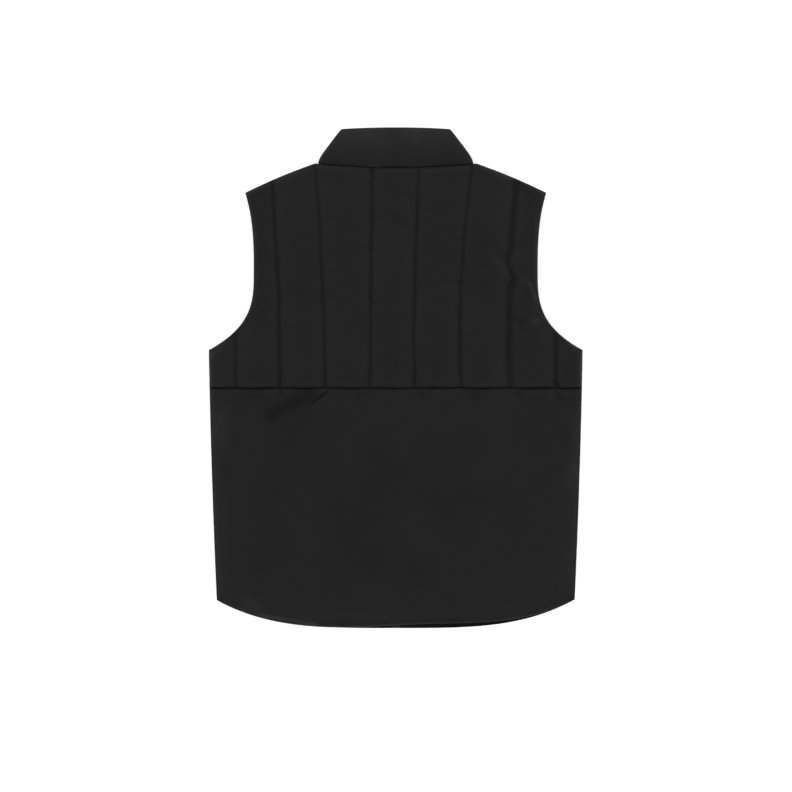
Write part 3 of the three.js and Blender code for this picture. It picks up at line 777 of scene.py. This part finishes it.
# %% [markdown]
# ## Blowing a panel up
#
# The shape functions give fair, even pillows. Real padding pushes the cloth up until its threads pull
# tight, and the little cloth that is left over buckles beside the stitches. Blender's cloth solver does
# this: the outer cloth is cut slightly too large, its seams are pinned, and air pressure takes the place
# of the padding. The solver works on every second point, and a smooth curve carries the result to the
# points between, which is far quicker than a fine simulation and can't crease where the cells are tiny.
# No point moves by more than the cap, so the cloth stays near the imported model.

# %% Blow up the outer cloth
SWELL = {"every": 2, "frames": 20, "pressure": 4.0, "excess": 0.0035, "cap": 0.0022}
SOLVER = {"quality": 6, "mass": 0.02, "bending_stiffness": 0.02}
SEWN_ABOVE = 0.7  # points whose near_seam is over this are pinned


def swell(name, columns, rows, place):
    """Shift of every second point of an outer cloth, as a list of columns."""
    every = SWELL["every"]
    across, along = columns // every, rows // every
    bm = bmesh.new()
    bmesh.ops.create_grid(bm, x_segments=across, y_segments=along, size=0.5)
    cells, sewn = [], []
    for vert in bm.verts:
        cell = (round((vert.co.x + 0.5) * across), round((vert.co.y + 0.5) * along))
        cells.append(cell)
        _, vert.co, marks, _ = place(cell[0] * every, cell[1] * every)
        if vert.is_boundary or marks["near_seam"] > SEWN_ABOVE:
            sewn.append(vert.index)
    before = [vert.co.copy() for vert in bm.verts]
    blown = make_object(name, bm)
    blown.vertex_groups.new(name="sewn").add(sewn, 1.0, "REPLACE")
    cloth = blown.modifiers.new("cloth", "CLOTH")
    cloth.point_cache.frame_start, cloth.point_cache.frame_end = 1, SWELL["frames"]
    cloth.collision_settings.use_collision = False
    settings = cloth.settings
    for key, value in SOLVER.items():
        setattr(settings, key, value)
    settings.vertex_group_mass = "sewn"
    settings.effector_weights.gravity = 0
    settings.use_pressure = True
    settings.uniform_pressure_force = SWELL["pressure"]
    settings.shrink_min = -SWELL["excess"]
    for number in range(1, SWELL["frames"] + 1):
        bpy.context.scene.frame_set(number)
    solved = blown.evaluated_get(bpy.context.evaluated_depsgraph_get()).data.vertices
    shifts = [[Vector()] * (along + 1) for _ in range(across + 1)]
    for (i, j), start, vert in zip(cells, before, solved):
        shift = vert.co - start
        shifts[i][j] = shift / (1 + shift.length / SWELL["cap"])
    longest = max(shift.length for column in shifts for shift in column)
    print(f"{name}: blown up by {1000 * longest:.2f} mm at most")
    bpy.data.objects.remove(blown)
    return shifts


def smooth_between(values, at):
    """A point on the smooth curve through evenly spaced values."""
    k = min(int(at), len(values) - 2)
    t = at - k
    b, c = values[k], values[k + 1]
    a = values[k - 1] if k > 0 else b
    d = values[k + 2] if k + 2 < len(values) else c
    square = a - 2.5 * b + 2 * c - d / 2
    cube = 1.5 * (b - c) + (d - a) / 2
    return b + (c - a) * t / 2 + square * t ** 2 + cube * t ** 3


def blown_up(name, columns, rows, place):
    """The place function of a panel, with its outer cloth moved as the solver found."""
    shifts = swell(name, columns, rows, place)

    def place_blown(i, j):
        inner, outer, marks, cut = place(i, j)
        at = j / SWELL["every"]
        first = max(0, i // SWELL["every"] - 1)
        near = [smooth_between(column, at) for column in shifts[first : first + 4]]
        return inner, outer + smooth_between(near, i / SWELL["every"] - first), marks, cut

    return place_blown


# %% [markdown]
# ## The five pieces of cloth
#
# Each piece now takes its own grid. The columns of the upper back follow the quilting lines, the lower
# back has an even grid that tightens at its edges and under its yoke seam, the fronts run from the zip to
# the side, and the collar's columns are its stations.

# %% Upper back
CHANNEL_CELLS = 18
STRIP_CELLS = 8
EDGE_CELLS = 10
OUTER_STRIP = 0.018  # a quilting line that leaves the back keeps its column this far inside the side


def placed_by(point, columns, rows):
    """The place function of a panel whose shape is point(x, level), with these columns and rows."""

    def place(i, j):
        inner, outer, marks = point(columns(rows[j])[i], rows[j])
        return inner, outer, marks, outer.xy

    return place


@lru_cache(maxsize=None)
def quilt_columns(level):
    """The x of every column at a level, with a column on each quilting line."""
    width = half_width(level)
    lines = quilt_lines(level)
    reach = width - OUTER_STRIP
    inner = [min(reach, max(-reach, line)) for line in lines]
    stops = [-width, -width + ROLL, *inner, width - ROLL, width]
    strip = eased(STRIP_CELLS)
    channels = [eased(CHANNEL_CELLS)] * (len(lines) - 1)
    return stretches(stops, [quarter(EDGE_CELLS), strip, *channels, strip, quarter_end(EDGE_CELLS)])


upper_foot = YOKE + SEAM_GAP / 2
upper_rows = stretches(
    [upper_foot, upper_foot + ROLL, UNDERARM, SHOULDER_TIP - ROLL, SHOULDER_TIP],
    [quarter(EDGE_CELLS), even(14), even(72), quarter_end(EDGE_CELLS)],
)
upper_size = (len(quilt_columns(UNDERARM)) - 1, len(upper_rows) - 1)
place_upper = blown_up("upper", *upper_size, placed_by(upper_point, quilt_columns, upper_rows))
back_upper, upper_cut = closed_panel("quilted_upper_back", *upper_size, place_upper)

# %% Lower back
LOWER_CELLS = 150
GATHERED = 0.050  # rows are closer together for this far below the yoke seam
lower_top = YOKE - SEAM_GAP / 2
lower_rows = stretches(
    [HEM_CORNER, HEM_CORNER + ROLL, lower_top - GATHERED, lower_top - ROLL, lower_top],
    [quarter(EDGE_CELLS), even(56), even(16), quarter_end(EDGE_CELLS)],
)


@lru_cache(maxsize=None)
def lower_columns(level):
    width = half_width(level)
    cuts = [quarter(EDGE_CELLS), even(LOWER_CELLS), quarter_end(EDGE_CELLS)]
    return stretches([-width, -width + ROLL, width - ROLL, width], cuts)


lower_size = (len(lower_columns(YOKE)) - 1, len(lower_rows) - 1)
place_lower = blown_up("lower", *lower_size, placed_by(lower_point, lower_columns, lower_rows))
back_lower, lower_cut = closed_panel("plain_lower_back", *lower_size, place_lower)

# %% Fronts
front_rows = stretches(
    [HEM_CORNER, HEM_CORNER + ROLL, UNDERARM, SHOULDER_TIP - ROLL, SHOULDER_TIP],
    [quarter(EDGE_CELLS), even(60), even(44), quarter_end(EDGE_CELLS)],
)


def front_panel(name, side):
    """One front, face down. Its columns run from the wearer's left to the right, as its grid does."""

    @lru_cache(maxsize=None)
    def columns(level):
        width = half_width(level)
        cuts = [quarter(EDGE_CELLS), even(44), quarter_end(EDGE_CELLS)]
        xs = stretches([ZIP_EDGE, ZIP_EDGE + ROLL, width - ROLL, width], cuts)
        return [side * x for x in xs[::side]]

    count = len(columns(UNDERARM)) - 1
    place = placed_by(front_point, columns, front_rows)
    return closed_panel(name, count, len(front_rows) - 1, place, lining=1)


front_left, left_cut = front_panel("plain_front_left", -1)
front_right, right_cut = front_panel("plain_front_right", 1)


# %% Collar
BESIDE_ZIP = 0.1  # share of the collar's front in which it turns in to the zip


def collar_stations():
    """Part, side, share of the way to the fold and turn in the fold, from the left zip end to the right."""
    shares = stretches([0, BESIDE_ZIP, 1], [quarter(EDGE_CELLS), even(28)])
    fronts = [("front", share, 0.0) for share in shares]
    folds = [("fold", 0.0, turn * pi) for turn in even(12)[1:-1]]
    backs = [("back", share, 0.0) for share in even(32)]
    left = [(part, -1, flat, turn) for part, flat, turn in fronts + folds + backs[:0:-1]]
    right = [(part, 1, flat, turn) for part, flat, turn in reversed(fronts + folds + backs[::-1])]
    return left + right


stations = collar_stations()
collar_height = COLLAR_TOP - BACK_NECK
collar_rows = stretches(
    [0, ROLL / collar_height, 1 - ROLL / collar_height, 1],
    [quarter(EDGE_CELLS), even(12), quarter_end(EDGE_CELLS)],
)


def place_collar(i, j):
    inner, outer, marks = collar_point(stations[i], collar_rows[j])
    along = sum((a.xz - b.xz).length for a, b in zip(collar_path[:i], collar_path[1 : i + 1]))
    return inner, outer, marks, (along, collar_rows[j] * collar_height)


collar_path = [collar_point(station, 0.5)[1] for station in stations]
collar, collar_cut = closed_panel("stand_collar", len(stations) - 1, len(collar_rows) - 1, place_collar)

# %% [markdown]
# ## Stitches
#
# A row of lockstitch is a line of short threads, each sunk a little at its ends. One stitch is a small
# stretched sphere of a few faces, and a loop sets it along the row at an even pitch. Each row is a list of
# points that lie on the cloth, taken from the same shape functions, so the stitches sit in their valleys.

# %% Rows of stitches
STITCH = {"pitch": 0.0030, "length": 0.0026, "thick": 0.0006}
STITCH_CELLS = {"u_segments": 6, "v_segments": 4}
ROW_END = 0.004  # a row stops this far from a corner
SHOULDER_END = 0.001
HALVINGS = 24


def row_of_stitches(points):
    """A bmesh of stitches along a row of points."""
    bm = bmesh.new()
    travelled = 0.0
    for start, end in zip(points, points[1:]):
        step = end - start
        while travelled < step.length:
            centre = start + step * (travelled / step.length)
            turn = step.to_track_quat("X", "Z").to_matrix().to_4x4()
            size = Matrix.Diagonal((STITCH["length"] / 2, STITCH["thick"] / 2, STITCH["thick"] / 2, 1))
            matrix = Matrix.Translation(centre) @ turn @ size
            bmesh.ops.create_uvsphere(bm, radius=1, matrix=matrix, **STITCH_CELLS)
            travelled += STITCH["pitch"]
        travelled -= step.length
    return bm


def stitched_rows(name, rows):
    """One object from several rows of stitches, each a list of points."""
    whole = bmesh.new()
    for points in rows:
        row = row_of_stitches(points)
        held = bpy.data.meshes.new("row")
        row.to_mesh(held)
        row.free()
        whole.from_mesh(held)
        bpy.data.meshes.remove(held)
    return make_object(name, whole)


def level_at(shape, x, y):
    """The level of a shape function at which its points at x reach y."""
    low, high = HEM_CORNER, SHOULDER_TIP
    for _ in range(HALVINGS):
        middle = (low + high) / 2
        low, high = (middle, high) if shape(x, middle)[0].y < y else (low, middle)
    return low


quilted_rows = []
for number in range(len(QUILT_LINES)):
    row = []
    for level in stretches([YOKE, SHOULDER_TIP], [even(120)]):
        x = quilt_lines(level)[number]
        if abs(x) < half_width(level) - TURNED_BAND:
            row.append(upper_point(x, level)[1])
    quilted_rows.append(row)


def edge_rows(cloth):
    """Rows along both armholes, on the back (cloth 1) or on the fronts' outer cloth (cloth 0)."""
    shape = upper_point if cloth else front_point
    levels = stretches([UNDERARM + ROW_END, SHOULDER_TIP - SHOULDER_END], [even(90)])
    inset = [(level, half_width(level) - TURNED_BAND) for level in levels]
    return [[shape(side * x, level)[cloth] for level, x in inset] for side in (-1, 1)]


def hem_row(shape, hem, cloth, start, end):
    """A row along a hem, from one x to another."""
    xs = stretches([start, end], [even(160)])
    return [shape(x, level_at(shape, x, hem(x) + TURNED_BAND))[cloth] for x in xs]


hem_end = HEM_WIDTH / 2 - ROW_END
back_rows = [*quilted_rows, *edge_rows(1), hem_row(lower_point, back_hem, 1, -hem_end, hem_end)]
back_stitches = stitched_rows("back_stitches", back_rows)

beside_zip = ZIP_EDGE + TURNED_BAND
front_rows_sewn = edge_rows(0)
for side in (-1, 1):
    front_rows_sewn.append(hem_row(front_point, front_hem, 0, side * beside_zip, side * hem_end))
    levels = stretches([HEM_CORNER + ROW_END, SHOULDER_TIP - ROW_END], [even(160)])
    front_rows_sewn.append([front_point(side * beside_zip, level)[0] for level in levels])
front_stitches = stitched_rows("front_stitches", front_rows_sewn)
faces = sum(len(stitches.data.polygons) for stitches in (back_stitches, front_stitches))
print("stitches:", faces // (STITCH_CELLS["u_segments"] * STITCH_CELLS["v_segments"]))

# %% [markdown]
# ## Zip teeth
#
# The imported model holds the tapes, the slider with its pull tab, and the box at the lower end. The teeth
# are too small and too many for it. Each is moulded on to the edge of a tape: a block that grips the tape
# and a narrower head that fits between two heads of the other side. Both are bevelled blocks, and an array
# modifier repeats them up the tape, half a pitch apart on the two sides.

# %% Zip teeth
TOOTH = {"pitch": 0.0029, "reach": 0.0007, "neck": 0.0010, "root": 0.0030, "overlap": 0.0002}
TOOTH_ROOT = {"length": 0.0018, "height": 0.0025}
TOOTH_HEAD = {"length": 0.0012, "height": 0.0018}
TOOTH_BEVEL = 0.00025
ROW_OF_TEETH = {"above_box": 0.001, "into_slider": 0.003}


def bevelled_block(bm, low, high, bevel):
    made = bmesh.ops.create_cube(bm, size=1)["verts"]
    bmesh.ops.scale(bm, verts=made, vec=[b - a for a, b in zip(low, high)])
    bmesh.ops.translate(bm, verts=made, vec=[(a + b) / 2 for a, b in zip(low, high)])
    edges = list({edge for vert in made for edge in vert.link_edges})
    bmesh.ops.bevel(bm, geom=edges, offset=bevel, segments=1, affect="EDGES", profile=0.5)


def zip_teeth(name, side):
    tape_low, tape_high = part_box("zip_tape_left")
    middle = (tape_low.z + tape_high.z) / 2
    shift = TOOTH["pitch"] / 2 if side > 0 else 0
    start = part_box("zip_box")[1].y + ROW_OF_TEETH["above_box"] + shift
    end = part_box("zip_slider")[0].y + ROW_OF_TEETH["into_slider"]
    bm = bmesh.new()
    blocks = (
        (TOOTH_ROOT, TOOTH["neck"], TOOTH["root"]),
        (TOOTH_HEAD, -TOOTH["reach"], TOOTH["neck"] + TOOTH["overlap"]),
    )
    for block, inner, outer in blocks:
        x0, x1 = sorted((side * inner, side * outer))
        y, z = block["length"] / 2, block["height"] / 2
        bevelled_block(bm, (x0, start - y, middle - z), (x1, start + y, middle + z), TOOTH_BEVEL)
    made = make_object(name, bm, smooth_faces=False)
    row = made.modifiers.new("row", "ARRAY")
    row.use_relative_offset = False
    row.use_constant_offset = True
    row.constant_offset_displace = (0, TOOTH["pitch"], 0)
    row.count = int((end - start) / TOOTH["pitch"])
    print(f"{name}: {row.count} teeth")
    return made


teeth_left = zip_teeth("zip_teeth_left", -1)
teeth_right = zip_teeth("zip_teeth_right", 1)

# %% [markdown]
# ## Finishes
#
# Shader maths is easier to read as an expression than as a web of nodes. `Number` wraps a socket and turns
# Python's operators into Math nodes, and `Finish.node` adds any other node from its settings and sockets.
# A Mix node's sockets for numbers, vectors and colours share their names, so its colour sockets go by
# their places.

# %% Shader maths
MIX_DARK, MIX_PALE, MIX_RESULT = 6, 7, 2


class Number:
    """A number in a material. Python's operators on it add Math nodes."""

    def __init__(self, finish, socket):
        self.finish, self.socket = finish, socket

    def maths(self, operation, *others):
        sockets = dict(enumerate((self, *others)))
        return self.finish.node("ShaderNodeMath", {"operation": operation}, sockets)

    def __add__(self, other):
        return self.maths("ADD", other)

    def __mul__(self, other):
        return self.maths("MULTIPLY", other)

    def __sub__(self, other):
        return self.maths("SUBTRACT", other)

    def sine(self):
        return self.maths("SINE")

    def clamped(self):
        return self.finish.node("ShaderNodeClamp", {}, {"Value": self}, "Result")


class Finish:
    """The nodes of a material or of the world."""

    def __init__(self, block):
        block.use_nodes = True
        self.block, self.tree = block, block.node_tree
        self.tree.nodes.clear()

    def node(self, kind, settings, sockets, out=0):
        made = self.tree.nodes.new(kind)
        for key, value in settings.items():
            setattr(made, key, value)
        for key, value in sockets.items():
            if isinstance(value, Number):
                self.tree.links.new(value.socket, made.inputs[key])
            else:
                made.inputs[key].default_value = value
        return Number(self, made.outputs[out])

    def grain(self, place, scale, detail):
        """A noise with so many waves to a unit of the place."""
        sockets = {"Vector": place, "Scale": scale, "Detail": detail}
        return self.node("ShaderNodeTexNoise", {}, sockets, "Fac")

    def axis(self, place, letter):
        return self.node("ShaderNodeSeparateXYZ", {}, {"Vector": place}, letter)

    def between(self, share, dark, pale):
        """The colour that lies a share of the way from dark to pale."""
        colours = {"Factor": share, MIX_DARK: (*dark, 1), MIX_PALE: (*pale, 1)}
        return self.node("ShaderNodeMix", {"data_type": "RGBA"}, colours, MIX_RESULT)

    def bump(self, height, distance, strength):
        sockets = {"Height": height, "Distance": distance, "Strength": strength}
        return self.node("ShaderNodeBump", {}, sockets, "Normal")

    def done(self, shader, kind="ShaderNodeOutputMaterial"):
        output = self.tree.nodes.new(kind)
        self.tree.links.new(shader.socket, output.inputs["Surface"])
        return self.block


# %% [markdown]
# ## Black nylon
#
# The shell is a plain-woven nylon with a matt face. Up close it has a fine over-and-under weave, and tiny
# crinkles that deepen beside the stitches. From a step away it is nearly black. Its colour carries painted
# shade in the folds and beside the stitches, and a painted sheen where it turns away from the eye; the
# shader's own sheen is faint. The weave and the crinkles follow the cut of the cloth through its UV map.

# %% Black nylon
WEAVE_PITCH = 0.0007

# Plain-woven nylon. dark and pale are greys of its texture; the third grey is what one unit of painted
# light adds to it, and painted shade, being negative, takes away.

def nylon(name, dark, pale, wear_and_painted_light):
    """Plain-woven nylon. dark, pale and worn are greys: in its texture, and added where it is faded."""
    f = Finish(bpy.data.materials.new(name))
    cut = f.node("ShaderNodeUVMap", {"uv_map": "cut"}, {}, "UV")
    u, v = f.axis(cut, "X"), f.axis(cut, "Y")
    near_seam, painted_light, lining = (
        f.node("ShaderNodeAttribute", {"attribute_name": name}, {}, "Fac")
        for name in ("near_seam", "painted_light", "lining")
    )
    weave = (u * (pi / WEAVE_PITCH)).sine() * (v * (pi / WEAVE_PITCH)).sine()
    crinkle = f.grain(cut, 160.0, 4.0)
    ripple = f.grain(cut, 38.0, 2.0)
    cloud = f.grain(cut, 9.0, 3.0)

    # near_seam darkens the colour beside stitches and seams as painted shade. The lining is a darker,
    # matter cloth; where the fronts' lining shows below the back's hem, its darkness also paints that hem's
    # shadow.
    tone = cloud * 0.6 + crinkle * 0.25 + weave * 0.06 + 0.08 - near_seam * 0.30 - lining * 0.7
    # The third term adds the painted highlights and painted shade that the panels carry.
    grey = tone.clamped() * (pale - dark) + painted_light * wear_and_painted_light + dark
    grey = grey.maths("MAXIMUM", dark / 2)
    colour = f.node("ShaderNodeCombineColor", {}, {"Red": grey, "Green": grey, "Blue": grey}, "Color")
    height = weave * 0.00003 + (crinkle - 0.5) * (near_seam * 0.0005 + 0.00022) + ripple * 0.0006
    sockets = {
        "Base Color": colour,
        "Roughness": crinkle * 0.10 + 0.56 + near_seam * 0.10 + lining * 0.25,
        "Normal": f.bump(height, 1.0, 0.8),
        "Specular IOR Level": 0.13,
        "Sheen Weight": 0.008,
        "Sheen Roughness": 0.5,
    }
    return f.done(f.node("ShaderNodeBsdfPrincipled", {}, sockets))


shell = nylon("black_nylon", dark=0.0028, pale=0.0078, wear_and_painted_light=0.0072)


# %% [markdown]
# ## Thread, tape, metal and plastic
#
# The thread is spun polyester with a fine grain. The tape is a herringbone weave, the slider and its pull
# tab are castings with an uneven black plating, and the teeth and the box are moulded plastic with a faint
# grain. These four stay in object coordinates, because nothing here stretches.

# %% Thread, tape, metal and plastic
def grey(level):
    return level, level, level


def hard_finish(name, grain, bump, dark, pale, roughness, constants):
    """A finish from a fine grain: its scale, bump, colours and roughness, and constants for the shader."""
    f = Finish(bpy.data.materials.new(name))
    place = f.node("ShaderNodeTexCoord", {}, {}, "Object")
    fine = f.grain(place, grain, 3.0)
    wear_and_painted_light = f.grain(place, grain / 9, 2.0)
    low, high = roughness
    sockets = {
        "Base Color": f.between((wear_and_painted_light * 0.7 + fine * 0.3).clamped(), dark, pale),
        "Roughness": wear_and_painted_light * (high - low) + low,
        "Normal": f.bump(fine, bump, 0.7),
    }
    return f.done(f.node("ShaderNodeBsdfPrincipled", {}, {**sockets, **constants}))


def tape_finish(name, pitch):
    """Herringbone: slanted ribs that change direction every few threads."""
    f = Finish(bpy.data.materials.new(name))
    place = f.node("ShaderNodeTexCoord", {}, {}, "Object")
    x, y = f.axis(place, "X"), f.axis(place, "Y")
    zigzag = (x * (1 / (6 * pitch))).maths("PINGPONG", 1.0) * 6.0
    ribs = ((y * (1 / pitch) + zigzag) * (2 * pi)).sine()
    fuzz = f.grain(place, 900.0, 2.0)
    tone = (ribs * 0.25 + fuzz * 0.5 + 0.2).clamped()
    sockets = {
        "Base Color": f.between(tone, grey(0.003), grey(0.009)),
        "Roughness": fuzz * 0.2 + 0.6,
        "Normal": f.bump(ribs * 0.00008 + fuzz * 0.00005, 1.0, 0.9),
        "Specular IOR Level": 0.12,
    }
    return f.done(f.node("ShaderNodeBsdfPrincipled", {}, sockets))


thread = hard_finish(
    "black_thread",
    grain=2500.0,
    bump=0.0001,
    dark=grey(0.0024),
    pale=grey(0.0056),
    roughness=(0.65, 0.85),
    constants={"Specular IOR Level": 0.10},
)
metal = hard_finish(
    "black_plated_metal",
    grain=1400.0,
    bump=0.00004,
    dark=(0.020, 0.020, 0.021),
    pale=(0.075, 0.075, 0.078),
    roughness=(0.26, 0.44),
    constants={"Metallic": 1.0},
)
plastic = hard_finish(
    "moulded_plastic",
    grain=1800.0,
    bump=0.00005,
    dark=grey(0.004),
    pale=grey(0.009),
    roughness=(0.40, 0.55),
    constants={"Specular IOR Level": 0.30},
)
tape = tape_finish("zip_tape_weave", 0.0009)

for node, finish in (
    ("zip_tape_left", tape),
    ("zip_tape_right", tape),
    ("zip_slider", metal),
    ("zip_pull", metal),
    ("zip_box", plastic),
):
    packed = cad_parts[node]
    packed.data.materials.clear()
    packed.data.materials.append(finish)

# %% [markdown]
# ## Bodies and cuts
#
# Every new piece rides on the vest's body and takes its finish. Each cloth's row in the table also holds
# the size it was cut to, which is its shell measured along its surface.

# %% Bodies, finishes and cuts
CLOTHS = (
    {"piece": back_upper, "node": "back_upper", "cut": upper_cut, "on": ["front_left", "front_right"]},
    {"piece": back_lower, "node": "back_lower", "cut": lower_cut, "on": ["front_left", "front_right"]},
    {"piece": front_left, "node": "front_left", "cut": left_cut, "on": []},
    {"piece": front_right, "node": "front_right", "cut": right_cut, "on": []},
    {"piece": collar, "node": "collar", "cut": collar_cut, "on": ["front_left", "front_right"]},
)
for cloth in CLOTHS:
    piece = cloth["piece"]
    piece.data.materials.append(shell)
    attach(piece, "vest")
    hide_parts(cloth["node"])
    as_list(cloth["on"])

for piece, finish, slot in (
    (back_stitches, thread, "thread"),
    (front_stitches, thread, "thread"),
    (teeth_left, plastic, "zip_plastic"),
    (teeth_right, plastic, "zip_plastic"),
):
    piece.data.materials.append(finish)
    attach(piece, "vest")

# %% [markdown]
# ## Floor, light and camera
#
# The photograph looks straight down at the vest on a white ground, under soft light from all sides. The
# ground glows a little of itself, so that it stays white while the lights are low enough for black cloth.
# The camera stands above the middle of the frame, and its height follows from its lens, so that the frame
# is 1.188 m wide at the height of the vest's edge.

# %% Floor, light and camera
FRAME_WIDTH = 1.188
FRAME_CENTRE = (0.0004, -0.027)
EDGE_HEIGHT = 0.010
LENS, SENSOR = 85.0, 36.0
FLOOR_REACH = 4.0
FLOOR_LEVEL = -0.0003  # just under the cloth, so that the two never share a plane

floor_mesh = bmesh.new()
bmesh.ops.create_grid(floor_mesh, x_segments=1, y_segments=1, size=FLOOR_REACH)
bmesh.ops.translate(floor_mesh, verts=floor_mesh.verts, vec=(0, 0, FLOOR_LEVEL))
floor = make_object("floor", floor_mesh)
paint = Finish(bpy.data.materials.new("pale_floor"))
grain = paint.node("ShaderNodeTexNoise", {}, {"Scale": 60.0}, "Fac")
ground = {
    "Base Color": (0.93, 0.93, 0.93, 1),
    "Roughness": grain * 0.1 + 0.8,
    "Specular IOR Level": 0.1,
    "Emission Color": (1.0, 1.0, 1.0, 1),
    "Emission Strength": 0.30,
}
floor.data.materials.append(paint.done(paint.node("ShaderNodeBsdfPrincipled", {}, ground)))

LIGHTS = (
    {"name": "upper_left", "place": (-1.5, 1.7, 1.3), "size": 1.8, "watts": 18},
    {"name": "upper_right", "place": (1.7, 1.7, 1.3), "size": 1.8, "watts": 21},
    {"name": "lower_left", "place": (-1.6, -1.6, 1.3), "size": 1.8, "watts": 15},
    {"name": "lower_right", "place": (1.6, -1.7, 1.3), "size": 1.8, "watts": 15},
)
TENT = {"overhead": 0.42, "walls": 1.85}  # strength of the white tent that lights it from all round
for item in LIGHTS:
    data = bpy.data.lights.new(item["name"], "AREA")
    data.energy, data.size = item["watts"], item["size"]
    lamp = bpy.data.objects.new(item["name"], data)
    lamp.location = item["place"]
    lamp.rotation_euler = (-Vector(item["place"])).to_track_quat("-Z", "Y").to_euler()
    bpy.context.collection.objects.link(lamp)

scene = bpy.context.scene
tent = Finish(bpy.data.worlds.new("studio"))
towards = tent.node("ShaderNodeTexCoord", {}, {}, "Generated")
height = tent.axis(towards, "Z").maths("ABSOLUTE")
glow = height * (TENT["overhead"] - TENT["walls"]) + TENT["walls"]
sky = tent.node("ShaderNodeBackground", {}, {"Color": (1, 1, 1, 1), "Strength": glow}, "Background")
scene.world = tent.done(sky, "ShaderNodeOutputWorld")
scene.view_settings.view_transform = "Standard"

camera_data = bpy.data.cameras.new("camera")
camera_data.lens, camera_data.sensor_width = LENS, SENSOR
camera = bpy.data.objects.new("camera", camera_data)
distance = FRAME_WIDTH / 2 * LENS / (SENSOR / 2)
camera.location = (*FRAME_CENTRE, distance + EDGE_HEIGHT)
bpy.context.collection.objects.link(camera)
scene.camera = camera
print(f"camera {distance:.3f} m above the edge of the vest")
